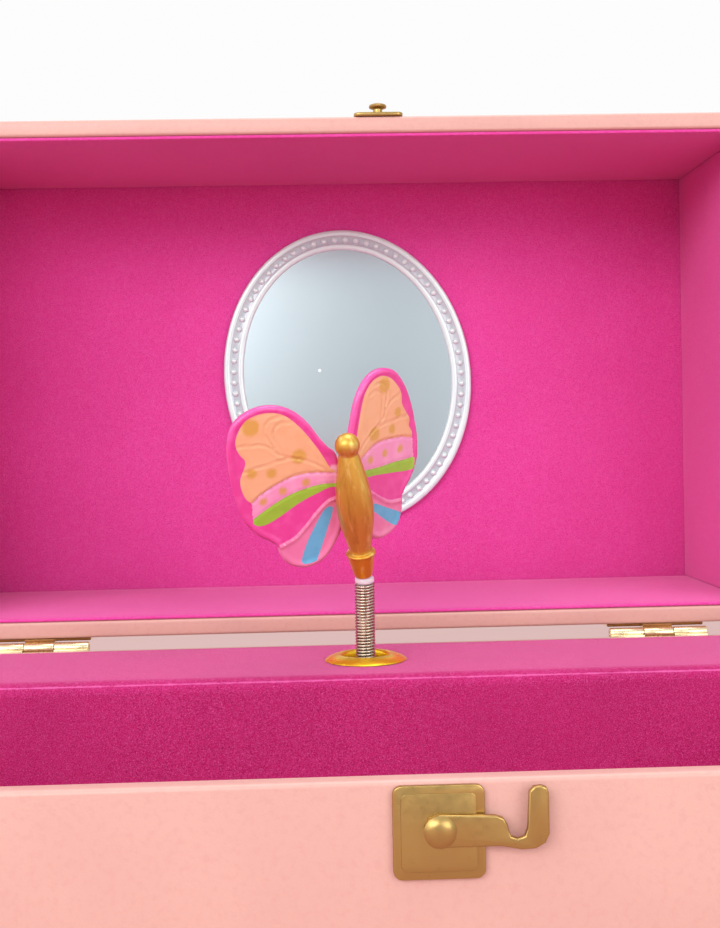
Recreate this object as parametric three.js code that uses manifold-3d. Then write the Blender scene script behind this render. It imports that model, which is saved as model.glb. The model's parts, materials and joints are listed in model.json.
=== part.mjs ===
// Wind-up musical jewellery box with a turning butterfly.
// Millimetres, +Z up. The origin is the centre of the underside of the base. +X is the right-hand end and +Y
// the back, seen from the front. The lid stands open, upright behind the base.

import * as THREE from 'three';
import { mergeVertices } from 'three/addons/utils/BufferGeometryUtils.js';
import Module from 'manifold-3d';

const wasm = await Module();
wasm.setup();

// ---- Driving dimensions -------------------------------------------------------------------------------------

// Case
const WIDTH = 210;
const DEPTH = 126;
const WALL = 4;
const RIM = 66;                 // height of the base's rim
const LINING = 0.8;             // felt on card
const GLUE = 0.1;               // glue line between boards, and under a lining
const LID_CLEAR = 59.7;         // depth of the lid from its rim to the panel lining
const SEAM = 0.5;               // half of the gap between the two rims when the lid is shut

// Hinges
const HINGE_OFFSET = 2.2;       // from the back faces to the hinge axis
const HINGE_X = 76;
const HINGE_WIDTH = 24;
const MIDDLE_KNUCKLE = 7.2;
const BARREL_R = 1.35;
const PIN_R = 0.6;
const LEAF = 0.8;
const LEAF_REACH = 13;

// Compartment behind the tray
const COMPARTMENT_FRONT = 18.5;
const COMPARTMENT_TOP = 66.4;
const COMPARTMENT_BOARD = 3;
const BEND_R = 3;

// Turning figure
const SPIN_X = 2.6;
const SPIN_Y = 37.9;
const COIL_R = 2.2;
const COIL_WIRE = 0.7;
const COIL_TURNS = 25;
const COIL_FOOT = 66.3;
const COIL_LENGTH = 18;
const COIL_LEAN = THREE.MathUtils.degToRad(15);
const FIGURE_TURN = THREE.MathUtils.degToRad(32.2);
const FIGURE_ROLL = THREE.MathUtils.degToRad(16.9);
const FIGURE_PITCH = THREE.MathUtils.degToRad(16.1);
const WING_SWEEP = THREE.MathUtils.degToRad(15.3);
const WING_THICK = 1.8;
const WING_BACK = 2.5;

// Mirror
const MIRROR_W = 71.5;
const MIRROR_H = 85.5;
const MIRROR_RIM = 5.8;
const MIRROR_X = 2;
const MIRROR_RISE = 2;
const MIRROR_TILT = THREE.MathUtils.degToRad(6.5);
const MIRROR_THICK = 2.4;

// Musical movement
const BEDPLATE_FRONT = 50;
const BEDPLATE_THICK = 2;
const BARREL_Z = 17.5;
const DRUM_R = 6.5;
const DRUM_LOW = 29;
const DRUM_HIGH = 47.5;
const NOTES = 18;
const SHAFT_R = 1;
const FACE_R = 8.7;             // mean radius of the great wheel's face teeth
const FACE_TEETH = 36;
const PINION_TEETH = 10;
const GEAR_TEETH = 30;
const GEAR_R = 7.2;
const SMALL_TEETH = 8;
const WORM_TEETH = 14;
const WORM_WHEEL_R = 4.2;
const WORM_R = 1.3;
const GEAR_LOW = 48.3;
const GEAR_THICK = 2;

// Clasp
const CLASP_X = 9.4;
const CLASP_SHEET = 0.9;
const CLASP_PIVOT_Z = 59;
const CLASP_KNOB_RISE = 11.4;
const HOOK_SHEET = 1.2;

// Stop wire, which the closing lid pushes down
const WIRE_X = 92;
const WIRE_Y = 55.6;
const WIRE_R = 0.45;
const WIRE_TRAVEL = 2.8;

// ---- Derived dimensions -------------------------------------------------------------------------------------

const HALF_W = WIDTH / 2;
const HALF_D = DEPTH / 2;
const SKIN = LINING + GLUE;
const INNER_W = HALF_W - WALL;
const AXIS_Y = HALF_D + HINGE_OFFSET;
const AXIS_Z = RIM + SEAM;
const LID_RIM_Y = AXIS_Y + SEAM;
const LID_LOW = AXIS_Z + HINGE_OFFSET;
const LID_HIGH = LID_LOW + DEPTH;
const LID_PANEL_Y = LID_RIM_Y + LID_CLEAR;
const LID_BOARD_Y = LID_PANEL_Y + SKIN;
const LID_BACK_Y = LID_BOARD_Y + WALL;
const INNER_BACK = HALF_D - WALL;
const GOVERNOR_X = SPIN_X + GEAR_R * (1 + SMALL_TEETH / GEAR_TEETH);
const WORM_X = GOVERNOR_X + WORM_WHEEL_R + WORM_R;
const WORM_Z = GEAR_LOW + GEAR_THICK + 1.4;
const WORM_LEAD = 2 * Math.PI * WORM_WHEEL_R / WORM_TEETH;

// ---- Materials ----------------------------------------------------------------------------------------------

const finish = (color, roughness, metalness = 0) => () =>
  new THREE.MeshStandardMaterial({ color, roughness, metalness });
const paper = finish(0xe8a090, 0.55);
const felt = finish(0xe23d89, 0.95);
const board = finish(0xb59a78, 0.8);
const brass = finish(0xcbb070, 0.3, 1);
const gilt = finish(0xd9a02c, 0.25, 1);
const steel = finish(0xb8b6b0, 0.3, 1);
const zinc = finish(0x9a9ca0, 0.45, 1);
const silver = finish(0xe6e9ec, 0.25, 1);
const glass = finish(0xc4d2da, 0.05, 1);
const plastic = finish(0xeeeae4, 0.4);
const goldPaint = finish(0xcf9436, 0.35, 0.3);
const pinkPaint = finish(0xf04fa4, 0.4);

// ---- Helpers ------------------------------------------------------------------------------------------------

const model = new THREE.Group();

function add(name, material, geometry, position = [0, 0, 0]) {
  const mesh = new THREE.Mesh(geometry, material());
  mesh.name = name;
  mesh.position.set(...position);
  model.add(mesh);
  return mesh;
}

function addBlock(name, material, [x0, x1], [y0, y1], [z0, z1]) {
  const geometry = new THREE.BoxGeometry(x1 - x0, y1 - y0, z1 - z0);
  return add(name, material, geometry, [(x0 + x1) / 2, (y0 + y1) / 2, (z0 + z1) / 2]);
}

function block([x0, x1], [y0, y1], [z0, z1]) {
  const geometry = new THREE.BoxGeometry(x1 - x0, y1 - y0, z1 - z0);
  return geometry.translate((x0 + x1) / 2, (y0 + y1) / 2, (z0 + z1) / 2);
}

// Turns a geometry's faces outward where its windings give a negative volume.
function outward(geometry) {
  const bare = geometry.clone();
  bare.deleteAttribute('normal');
  bare.deleteAttribute('uv');
  const merged = mergeVertices(bare, 1e-5);
  const p = merged.attributes.position;
  const index = Array.from(merged.index.array);
  const a = new THREE.Vector3(), b = new THREE.Vector3(), c = new THREE.Vector3();
  let volume = 0;
  for (let i = 0; i < index.length; i += 3) {
    a.fromBufferAttribute(p, index[i]);
    b.fromBufferAttribute(p, index[i + 1]);
    c.fromBufferAttribute(p, index[i + 2]);
    volume += a.dot(b.cross(c));
  }
  const kept = [];
  for (let i = 0; i < index.length; i += 3) {
    const [u, v, w] = index.slice(i, i + 3);
    if (u !== v && v !== w && w !== u) kept.push(u, volume < 0 ? w : v, volume < 0 ? v : w);
  }
  merged.setIndex(kept);
  merged.computeVertexNormals();
  return merged;
}

function solid(geometry) {
  const clean = outward(geometry);
  return new wasm.Manifold(new wasm.Mesh({
    numProp: 3,
    vertProperties: new Float32Array(clean.attributes.position.array),
    triVerts: new Uint32Array(clean.index.array),
  }));
}

function surface(manifold) {
  const mesh = manifold.getMesh();
  const geometry = new THREE.BufferGeometry();
  geometry.setAttribute('position', new THREE.Float32BufferAttribute(mesh.vertProperties, 3));
  geometry.setIndex(Array.from(mesh.triVerts));
  geometry.computeVertexNormals();
  return geometry;
}

const join = (...parts) => surface(parts.slice(1).reduce((sum, g) => sum.add(solid(g)), solid(parts[0])));
const cut = (body, ...tools) => surface(tools.reduce((rest, g) => rest.subtract(solid(g)), solid(body)));

// A round bar along an axis, from one end to the other.
function bar(axis, radius, from, to, [u, v], sides = 20) {
  const geometry = new THREE.CylinderGeometry(radius, radius, to - from, sides);
  const middle = (from + to) / 2;
  if (axis === 'x') return geometry.rotateZ(Math.PI / 2).translate(middle, u, v);
  if (axis === 'y') return geometry.translate(u, middle, v);
  return geometry.rotateX(Math.PI / 2).translate(u, v, middle);
}

// A profile of [radius, height] pairs turned about Z.
function turned(profile, sides) {
  const points = profile.map(([r, z]) => new THREE.Vector2(r, z));
  return outward(new THREE.LatheGeometry(points, sides).rotateX(Math.PI / 2));
}

function outline(points, holes = []) {
  const shape = new THREE.Shape(points.map(([x, y]) => new THREE.Vector2(x, y)));
  for (const [x, y, r] of holes) {
    const hole = new THREE.Path();
    hole.absarc(x, y, r, 0, 2 * Math.PI, true);
    shape.holes.push(hole);
  }
  return shape;
}

const extrude = (shape, depth, curveSegments = 8) =>
  new THREE.ExtrudeGeometry(shape, { depth, bevelEnabled: false, curveSegments });

// Extrusions of a shape drawn in a plane: (y, z) along X, (x, z) along Y, and (x, y) along Z.
function alongX(shape, from, to, curveSegments) {
  const turn = new THREE.Matrix4().makeBasis(
    new THREE.Vector3(0, 1, 0), new THREE.Vector3(0, 0, 1), new THREE.Vector3(1, 0, 0));
  return extrude(shape, to - from, curveSegments).applyMatrix4(turn).translate(from, 0, 0);
}
const alongY = (shape, from, to, curveSegments) =>
  extrude(shape, to - from, curveSegments).rotateX(Math.PI / 2).translate(0, to, 0);
const alongZ = (shape, from, to, curveSegments) => extrude(shape, to - from, curveSegments).translate(0, 0, from);

// Straight-sided gear teeth: the outline of a spur gear, with a tooth centred on angle `phase`.
function gearOutline(teeth, rootR, tipR, rootHalf, tipHalf, phase = 0) {
  const points = [];
  for (let i = 0; i < teeth; i++) {
    const mid = phase + 2 * Math.PI * i / teeth;
    for (const [r, half] of [[rootR, -rootHalf], [tipR, -tipHalf], [tipR, tipHalf], [rootR, rootHalf]]) {
      points.push([r * Math.cos(mid + half / r), r * Math.sin(mid + half / r)]);
    }
  }
  return points;
}

// ---- Base ---------------------------------------------------------------------------------------------------

function base() {
  const wallFoot = WALL + GLUE;
  const sideY = INNER_BACK - GLUE;
  addBlock('base_board', paper, [-HALF_W, HALF_W], [-HALF_D, HALF_D], [0, WALL]);
  addBlock('front_wall', paper, [-HALF_W, HALF_W], [-HALF_D, -INNER_BACK], [wallFoot, RIM]);
  const back = block([-HALF_W, HALF_W], [INNER_BACK, HALF_D], [wallFoot, RIM]);
  add('back_wall', paper, cut(back, bar('y', 5, INNER_BACK - 1, HALF_D + 1, [SPIN_X, BARREL_Z], 24)));
  addBlock('left_wall', paper, [-HALF_W, -INNER_W], [-sideY, sideY], [wallFoot, RIM]);
  addBlock('right_wall', paper, [INNER_W, HALF_W], [-sideY, sideY], [wallFoot, RIM]);

  const floorTop = wallFoot + LINING;
  const liningTop = RIM - 0.4;
  const skinX = INNER_W - GLUE;
  const frontY = -INNER_BACK + GLUE;
  const endY = COMPARTMENT_FRONT - GLUE;
  addBlock('floor_lining', felt, [-skinX, skinX], [frontY, endY], [wallFoot, floorTop]);
  const linings = [floorTop + GLUE, liningTop];
  addBlock('front_lining', felt, [-skinX, skinX], [frontY, frontY + LINING], linings);
  const sideLining = [frontY + SKIN, endY];
  addBlock('left_lining', felt, [-skinX, -skinX + LINING], sideLining, linings);
  addBlock('right_lining', felt, [skinX - LINING, skinX], sideLining, linings);
}

// ---- Compartment for the movement, with its grommet ---------------------------------------------------------

function compartment() {
  const x = INNER_W - GLUE;
  const boardY = COMPARTMENT_FRONT + SKIN;
  const boardTop = COMPARTMENT_TOP - SKIN;
  const boardLow = boardTop - COMPARTMENT_BOARD;
  const foot = WALL + GLUE;
  addBlock('compartment_front_board', board, [-x, x], [boardY, boardY + COMPARTMENT_BOARD],
    [foot, boardLow - GLUE]);

  const innerR = BEND_R - SKIN;
  const topShape = new THREE.Shape();
  topShape.moveTo(boardY, boardLow);
  topShape.lineTo(INNER_BACK - GLUE, boardLow);
  topShape.lineTo(INNER_BACK - GLUE, boardTop);
  topShape.lineTo(boardY + innerR, boardTop);
  topShape.absarc(boardY + innerR, boardTop - innerR, innerR, Math.PI / 2, Math.PI, false);
  const well = bar('z', 6.2, boardLow - 1, COMPARTMENT_TOP + 1, [SPIN_X, SPIN_Y], 24);
  const wireHole = bar('z', WIRE_R + 0.35, boardLow - 1, COMPARTMENT_TOP + 1, [WIRE_X, WIRE_Y], 14);
  add('compartment_top_board', board, cut(alongX(topShape, -x, x, 5), well, wireHole));

  const sheet = new THREE.Shape();
  sheet.moveTo(COMPARTMENT_FRONT, foot);
  sheet.lineTo(COMPARTMENT_FRONT + LINING, foot);
  sheet.lineTo(COMPARTMENT_FRONT + LINING, COMPARTMENT_TOP - BEND_R);
  sheet.absarc(COMPARTMENT_FRONT + BEND_R, COMPARTMENT_TOP - BEND_R, BEND_R - LINING, Math.PI, Math.PI / 2, true);
  sheet.lineTo(INNER_BACK - GLUE, COMPARTMENT_TOP - LINING);
  sheet.lineTo(INNER_BACK - GLUE, COMPARTMENT_TOP);
  sheet.lineTo(COMPARTMENT_FRONT + BEND_R, COMPARTMENT_TOP);
  sheet.absarc(COMPARTMENT_FRONT + BEND_R, COMPARTMENT_TOP - BEND_R, BEND_R, Math.PI / 2, Math.PI, false);
  const wireSlot = block([WIRE_X - 0.8, WIRE_X + 0.8], [WIRE_Y, INNER_BACK], [boardTop - 0.05, COMPARTMENT_TOP + 1]);
  add('compartment_felt', felt, cut(alongX(sheet, -x, x, 6), well, wireHole, wireSlot));

  const under = boardLow - COMPARTMENT_TOP;
  const eyelet = turned([
    [5.15, 0.9], [5.5, 1.35], [6.2, 1.5], [7.6, 1.2], [8.8, 0.55], [9.2, 0.1], [6, 0.08],
    [6, under - 0.1], [8, under - 0.1], [8, under - 0.6], [5.15, under - 0.7], [5.15, 0.9],
  ], 28);
  add('grommet', gilt, eyelet, [SPIN_X, SPIN_Y, COMPARTMENT_TOP]);
}

// ---- Lid, standing open -------------------------------------------------------------------------------------

function lid() {
  const inner = [LID_LOW + WALL, LID_HIGH - WALL];
  const wallY = [LID_RIM_Y, LID_BOARD_Y - GLUE];
  addBlock('lid_panel', paper, [-HALF_W, HALF_W], [LID_BOARD_Y, LID_BACK_Y], [LID_LOW, LID_HIGH]);
  addBlock('lid_back_wall', paper, [-HALF_W, HALF_W], wallY, [LID_LOW, inner[0]]);
  addBlock('lid_front_wall', paper, [-HALF_W, HALF_W], wallY, [inner[1], LID_HIGH]);
  const sideZ = [inner[0] + GLUE, inner[1] - GLUE];
  addBlock('lid_left_wall', paper, [-HALF_W, -INNER_W], wallY, sideZ);
  addBlock('lid_right_wall', paper, [INNER_W, HALF_W], wallY, sideZ);

  const x = INNER_W - GLUE;
  const liningY = [LID_RIM_Y + 0.4, LID_PANEL_Y - GLUE];
  addBlock('lid_panel_lining', felt, [-x, x], [LID_PANEL_Y, LID_PANEL_Y + LINING], sideZ);
  addBlock('lid_back_lining', felt, [-x, x], liningY, [sideZ[0], sideZ[0] + LINING]);
  addBlock('lid_front_lining', felt, [-x, x], liningY, [sideZ[1] - LINING, sideZ[1]]);
  const endZ = [sideZ[0] + SKIN, sideZ[1] - SKIN];
  addBlock('lid_left_lining', felt, [-x, -x + LINING], liningY, endZ);
  addBlock('lid_right_lining', felt, [x - LINING, x], liningY, endZ);
}

// ---- Oval mirror on the lid's panel -------------------------------------------------------------------------

function ellipse(width, height) {
  const shape = new THREE.Shape();
  shape.absellipse(0, 0, width / 2, height / 2, 0, 2 * Math.PI, false, 0);
  return shape;
}

function mirror() {
  const place = mesh => {
    mesh.position.set(MIRROR_X, LID_PANEL_Y - GLUE, (LID_LOW + LID_HIGH) / 2 + MIRROR_RISE);
    mesh.rotation.y = -MIRROR_TILT;
  };
  const glassW = MIRROR_W - 2 * MIRROR_RIM;
  const glassH = MIRROR_H - 2 * MIRROR_RIM;
  const arcs = 24;
  const ring = alongY(ellipse(MIRROR_W, MIRROR_H), -MIRROR_THICK, 0, arcs);
  const sight = alongY(ellipse(glassW, glassH), -MIRROR_THICK - 1, 1, arcs);
  const rebate = alongY(ellipse(glassW + 3, glassH + 3), -1.5, 1, arcs);
  place(add('mirror_frame', silver, cut(ring, sight, rebate)));
  place(add('mirror_glass', glass, alongY(ellipse(glassW + 2.4, glassH + 2.4), -1.3, -0.1, arcs)));
}

// ---- Hinges -------------------------------------------------------------------------------------------------

function barrelPiece(x, width, bore) {
  const outer = bar('x', BARREL_R, x - width / 2, x + width / 2, [AXIS_Y, AXIS_Z], 16);
  return bore ? cut(outer, bar('x', PIN_R + 0.08, x - width, x + width, [AXIS_Y, AXIS_Z], 12)) : outer;
}

// The base leaf lies on the back wall and carries the two outer knuckles.
function hinge(side) {
  const x = side === 'left' ? -HINGE_X : HINGE_X;
  const half = HINGE_WIDTH / 2;
  const endWidth = (HINGE_WIDTH - MIDDLE_KNUCKLE) / 2 - 0.15;
  const ends = [x - half + endWidth / 2, x + half - endWidth / 2];
  const y0 = HALF_D + GLUE;
  const z0 = LID_LOW - GLUE;
  const span = (mid, width) => [mid - width / 2, mid + width / 2];

  const plate = block([x - half, x + half], [y0, y0 + LEAF], [RIM - LEAF_REACH, RIM - 2]);
  const webs = ends.map(mid => block(span(mid, endWidth), [y0, AXIS_Y - 1], [RIM - 3, AXIS_Z - 0.2]));
  const pinHole = bar('x', PIN_R + 0.08, x - half - 1, x + half + 1, [AXIS_Y, AXIS_Z], 12);
  const knuckles = ends.map(mid => barrelPiece(mid, endWidth, false));
  add(`${side}_hinge_base_leaf`, brass, cut(join(plate, ...webs, ...knuckles), pinHole));

  const lidPlate = block([x - half, x + half], [LID_RIM_Y + 2, LID_RIM_Y + LEAF_REACH], [z0 - LEAF, z0]);
  const lidWeb = block(span(x, MIDDLE_KNUCKLE), [AXIS_Y + 0.2, LID_RIM_Y + 3], [AXIS_Z + 1, z0]);
  const knuckle = barrelPiece(x, MIDDLE_KNUCKLE, false);
  add(`${side}_hinge_lid_leaf`, brass, cut(join(lidPlate, lidWeb, knuckle), pinHole));

  add(`${side}_hinge_pin`, brass, bar('x', PIN_R, x - half + 0.2, x + half - 0.2, [AXIS_Y, AXIS_Z], 12));
}

// ---- Hook clasp on the front --------------------------------------------------------------------------------

function roundedPlate(halfWidth, low, high, r = 1.4) {
  const shape = new THREE.Shape();
  shape.absarc(halfWidth - r, low + r, r, -Math.PI / 2, 0, false);
  shape.absarc(halfWidth - r, high - r, r, 0, Math.PI / 2, false);
  shape.absarc(-halfWidth + r, high - r, r, Math.PI / 2, Math.PI, false);
  shape.absarc(-halfWidth + r, low + r, r, Math.PI, 1.5 * Math.PI, false);
  return shape;
}

function clasp() {
  const face = -HALF_D - GLUE;
  const plateFront = face - CLASP_SHEET;
  const hookBack = plateFront - 0.2;
  const hookFront = hookBack - HOOK_SHEET;
  const plate = alongY(roundedPlate(6.8, -7.5, RIM - 0.6 - CLASP_PIVOT_Z), plateFront, face, 4);
  const stem = bar('y', 1.3, hookFront - 0.3, face, [0, 0], 16);
  const head = bar('y', 2.4, hookFront - 1.1, hookFront - 0.2, [0, 0], 16);
  add('clasp_base_plate', brass, join(plate, stem, head), [CLASP_X, 0, CLASP_PIVOT_Z]);

  // The hook rests lying to the right. Its mouth takes the lid's knob when it swings up.
  const k = CLASP_KNOB_RISE;
  const arm = outline([
    [0, -2.4], [k - 2.5, -2.4], [k + 0.5, -3], [k + 3.5, -2.6], [k + 4.6, -1], [k + 4.6, 5.2], [k + 3.7, 6.3],
    [k + 2.4, 6.3], [k + 1.6, 5.4], [k + 1.4, 0], [k + 0.9, -1.1], [k, -1.4], [k - 0.9, -1.1], [k - 1.4, 0],
    [k - 1.4, 0.6], [k - 2.1, 2], [0, 2.4], [-2, 1.2], [-2, -1.2],
  ]);
  const hook = cut(alongY(arm, hookFront, hookBack), bar('y', 1.42, hookFront - 1, hookBack + 1, [0, 0], 16));
  add('clasp_hook', brass, hook, [CLASP_X, 0, CLASP_PIVOT_Z]);

  // On the open lid the front wall is on top, so the knob's plate lies flat there.
  const knobY = AXIS_Y + CLASP_PIVOT_Z + CLASP_KNOB_RISE - AXIS_Z;
  const top = LID_HIGH + GLUE;
  const lidPlate = alongZ(roundedPlate(6, -3.6, 4.6), top, top + CLASP_SHEET, 4);
  const knob = turned([
    [0, top], [1.15, top], [1.15, top + 2.4], [2.2, top + 2.6], [2.2, top + 3.3], [0, top + 3.7],
  ], 16);
  add('clasp_lid_plate', brass, join(lidPlate, knob), [CLASP_X, knobY, 0]);
}

// ---- Musical movement: fixed pieces -------------------------------------------------------------------------

function movementFrame() {
  const back = BEDPLATE_FRONT + BEDPLATE_THICK;
  const front = BEDPLATE_FRONT - GLUE;
  const arbor = [SPIN_X, BARREL_Z];
  const screws = [[SPIN_X - 17, 10], [SPIN_X + 17, 10]];
  const blockX = [SPIN_X - 21, SPIN_X + 21];
  const screwHoles = (r, from, to) => screws.map(at => bar('y', r, from, to, at, 12));
  add('movement_block', board, cut(
    block([blockX[0] - 4, blockX[1] + 4], [back + GLUE, INNER_BACK - GLUE], [WALL + GLUE, 58]),
    bar('y', 4, back, INNER_BACK + 1, arbor, 20), ...screwHoles(1.1, back, back + 6)));

  const pillar = block([SPIN_X - 20.5, SPIN_X - 13.5], [SPIN_Y + 0.7, BEDPLATE_FRONT + 0.5], [DRUM_LOW, DRUM_HIGH]);
  const plate = block(blockX, [BEDPLATE_FRONT, back], [6, 57]);
  const combScrews = [DRUM_LOW + 4, DRUM_HIGH - 4];
  const combHoles = (r, from, to) => combScrews.map(z => bar('y', r, from, to, [SPIN_X - 17, z], 12));
  add('bedplate', zinc, cut(join(plate, pillar), bar('y', 2.5, front - 1, back + 1, arbor, 20),
    ...screwHoles(1.1, front - 1, back + 1), ...combHoles(0.8, SPIN_Y, SPIN_Y + 6)));

  screws.forEach((at, i) => {
    const screw = join(bar('y', 2.2, front - 1.2, front, at, 14), bar('y', 0.9, front - 0.5, back + 4, at, 12));
    const slot = block([at[0] - 3, at[0] + 3], [front - 1.5, front - 0.7], [at[1] - 0.3, at[1] + 0.3]);
    add(`bedplate_screw_${i ? 'right' : 'left'}`, steel, cut(screw, slot));
  });

  const cup = turned([[2.8, 0], [10.3, 0], [10.3, 7], [9.7, 7], [9.7, 0.7], [2.8, 0.7], [2.8, 0]], 28);
  add('spring_barrel', brass, cup.rotateX(Math.PI / 2), [SPIN_X, front, BARREL_Z]);
  add('mainspring', steel, mainspring(), [SPIN_X, front - 1.1, BARREL_Z]);
  add('comb', steel, comb(combHoles(0.8, SPIN_Y - 2, SPIN_Y + 2)));

  combScrews.forEach((z, i) => {
    const at = [SPIN_X - 17, z];
    const screw = join(bar('y', 1.7, SPIN_Y - 1.8, SPIN_Y - 0.6, at, 14), bar('y', 0.65, SPIN_Y - 1, SPIN_Y + 4, at, 10));
    const slot = block([at[0] - 2, at[0] + 2], [SPIN_Y - 2, SPIN_Y - 1.4], [z - 0.25, z + 0.25]);
    add(`comb_screw_${i ? 'upper' : 'lower'}`, steel, cut(screw, slot));
  });

  const lower = outline([
    [SPIN_X - 2.4, 35.3], [SPIN_X + 14.4, 35.3], [SPIN_X + 14.4, front], [SPIN_X + 11.6, front],
    [SPIN_X + 11.6, 39.5], [SPIN_X - 2.4, 39.5],
  ]);
  const shaftHole = r => bar('z', r, 18, 60, [SPIN_X, SPIN_Y], 16);
  add('lower_bearing', brass, cut(alongZ(lower, 21.8, 23.4), shaftHole(SHAFT_R + 0.07)));
  add('upper_frame', brass, upperFrame(front));
}

// A flat spiral ribbon, open at both ends, from the arbor out to the barrel's wall.
function mainspring() {
  const turns = 5;
  const steps = 18 * turns;
  const ribbon = 0.35;
  const edge = (i, shift) => {
    const angle = 2 * Math.PI * turns * i / steps;
    const r = 3 + (9.1 - 3) * i / steps + shift;
    return [r * Math.cos(angle), r * Math.sin(angle)];
  };
  const out = [], back = [];
  for (let i = 0; i <= steps; i++) {
    out.push(edge(i, ribbon));
    back.unshift(edge(i, 0));
  }
  return alongY(outline([...out, ...back]), -5, 0);
}

function comb(holes) {
  const tip = SPIN_X - DRUM_R - 0.5;
  const root = SPIN_X - 14;
  const pitch = (DRUM_HIGH - DRUM_LOW - 1) / NOTES;
  const points = [[SPIN_X - 20.5, DRUM_LOW + 0.5], [root, DRUM_LOW + 0.5]];
  for (let i = 0; i < NOTES; i++) {
    const z = DRUM_LOW + 0.5 + pitch * i;
    points.push([root, z + 0.12], [tip, z + 0.14], [tip, z + pitch - 0.14], [root, z + pitch - 0.12]);
  }
  points.push([root, DRUM_HIGH - 0.5], [SPIN_X - 20.5, DRUM_HIGH - 0.5]);
  return cut(alongY(outline(points), SPIN_Y - 0.5, SPIN_Y + 0.5), ...holes);
}

// Holds the upper end of the drive shaft and both ends of the governor's two arbors.
function upperFrame(front) {
  const armX = [WORM_X - 1.6, WORM_X + 4.4];
  const armZ = [WORM_Z - 1.8, WORM_Z + 1.8];
  const frame = join(
    block([SPIN_X - 3.4, SPIN_X + 3.4], [34.4, front], [51.7, 53.3]),
    block([SPIN_X + 3, GOVERNOR_X], [front - 1.5, front], [51.7, 53.3]),
    block([GOVERNOR_X - 2.4, WORM_X + 4.4], [front - 1.5, front], [45.6, 55]),
    block([GOVERNOR_X - 1.6, GOVERNOR_X + 1.6], [SPIN_Y - 2, front - 1], [45.6, 47]),
    block([GOVERNOR_X - 1.6, GOVERNOR_X + 1.6], [SPIN_Y - 2, front - 1], [WORM_Z + 1.4, 55]),
    block([WORM_X + 2.4, WORM_X + 4.4], [31.8, front - 1], armZ),
    block(armX, [31.8, 33.6], armZ),
    block(armX, [46.4, front - 1], armZ));
  return cut(frame, bar('z', 1.3, 50, 60, [SPIN_X, SPIN_Y], 16), bar('z', 0.68, 40, 60, [GOVERNOR_X, SPIN_Y], 14),
    bar('y', 0.58, 30, front + 1, [WORM_X, WORM_Z], 14));
}

// The lid's back wall comes down on the wire's bent end; its foot stops the air brake.
function stopWire() {
  const top = RIM + WIRE_TRAVEL + WIRE_R + 0.1;
  const foot = 40;
  const path = new THREE.CurvePath();
  const corner = 1.2;
  const at = (y, z) => new THREE.Vector3(WIRE_X, y, z);
  const runs = [
    [at(WIRE_Y, foot), at(WIRE_Y, top - corner), at(WIRE_Y, top), at(WIRE_Y + corner, top)],
    [null, at(INNER_BACK + 3, top)],
  ];
  path.add(new THREE.LineCurve3(runs[0][0], runs[0][1]));
  path.add(new THREE.QuadraticBezierCurve3(runs[0][1], runs[0][2], runs[0][3]));
  path.add(new THREE.LineCurve3(runs[0][3], runs[1][1]));
  const section = new THREE.Shape();
  section.absarc(0, 0, WIRE_R, 0, 2 * Math.PI, false);
  const wire = new THREE.ExtrudeGeometry(section, { steps: 24, curveSegments: 5, extrudePath: path });
  const collar = bar('z', 1.1, 54, 57, [WIRE_X, WIRE_Y], 14);
  add('stop_wire', steel, join(wire, collar));
}

// ---- Musical movement: turning pieces -----------------------------------------------------------------------

// Pins stand on the drum in one track for each tooth of the comb.
function drum() {
  const tube = turned([
    [SHAFT_R + 0.1, DRUM_LOW], [DRUM_R, DRUM_LOW], [DRUM_R, DRUM_HIGH], [SHAFT_R + 0.1, DRUM_HIGH],
    [SHAFT_R + 0.1, DRUM_LOW],
  ], 36);
  const pitch = (DRUM_HIGH - DRUM_LOW - 1) / NOTES;
  const pins = [];
  for (let note = 0; note < NOTES; note++) {
    for (let beat = 0; beat < 2; beat++) {
      const angle = 2 * Math.PI * ((note * 7 + beat * 11) % 23 + 0.5) / 23;
      const pin = new THREE.BoxGeometry(1.1, 0.32, 0.32).translate(DRUM_R - 0.25, 0, 0);
      pins.push(pin.rotateZ(angle).translate(0, 0, DRUM_LOW + 0.5 + pitch * (note + 0.5)));
    }
  }
  return join(tube, ...pins);
}

function driveTrain() {
  add('musical_cylinder', brass, drum(), [SPIN_X, SPIN_Y, 0]);
  const gear = outline(gearOutline(GEAR_TEETH, 6.65, 7.7, 0.42, 0.2), [[0, 0, SHAFT_R + 0.1]]);
  add('cylinder_gear', brass, alongZ(gear, GEAR_LOW, GEAR_LOW + GEAR_THICK), [SPIN_X, SPIN_Y, 0]);

  const middle = BARREL_Z + FACE_R;
  const pinion = alongZ(outline(gearOutline(PINION_TEETH, 1.85, 2.85, 0.38, 0.17, Math.PI / 2)),
    middle - 0.9, middle + 0.9);
  const shaft = turned([
    [0, 21.4], [SHAFT_R, 21.4], [SHAFT_R, 53.6], [1.25, 53.8], [1.25, 62.4], [2.3, 62.6], [2.3, COIL_FOOT - 0.3],
    [1.2, COIL_FOOT - 0.3], [1.2, COIL_FOOT + 2.4], [0, COIL_FOOT + 2.6],
  ], 16);
  add('drive_shaft', steel, join(shaft, pinion), [SPIN_X, SPIN_Y, 0]);
  add('great_wheel', brass, greatWheel(), [SPIN_X, 0, BARREL_Z]);

  const arbor = join(
    bar('y', 1.5, 40.2, 43.5, [0, 0], 16), bar('y', 2.3, 43.1, 58, [0, 0], 20), bar('y', 1.5, 57, 75, [0, 0], 16));
  add('winding_arbor', steel, arbor, [SPIN_X, 0, BARREL_Z]);
  add('winding_key', steel, windingKey(), [SPIN_X, 0, BARREL_Z]);
}

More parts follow.
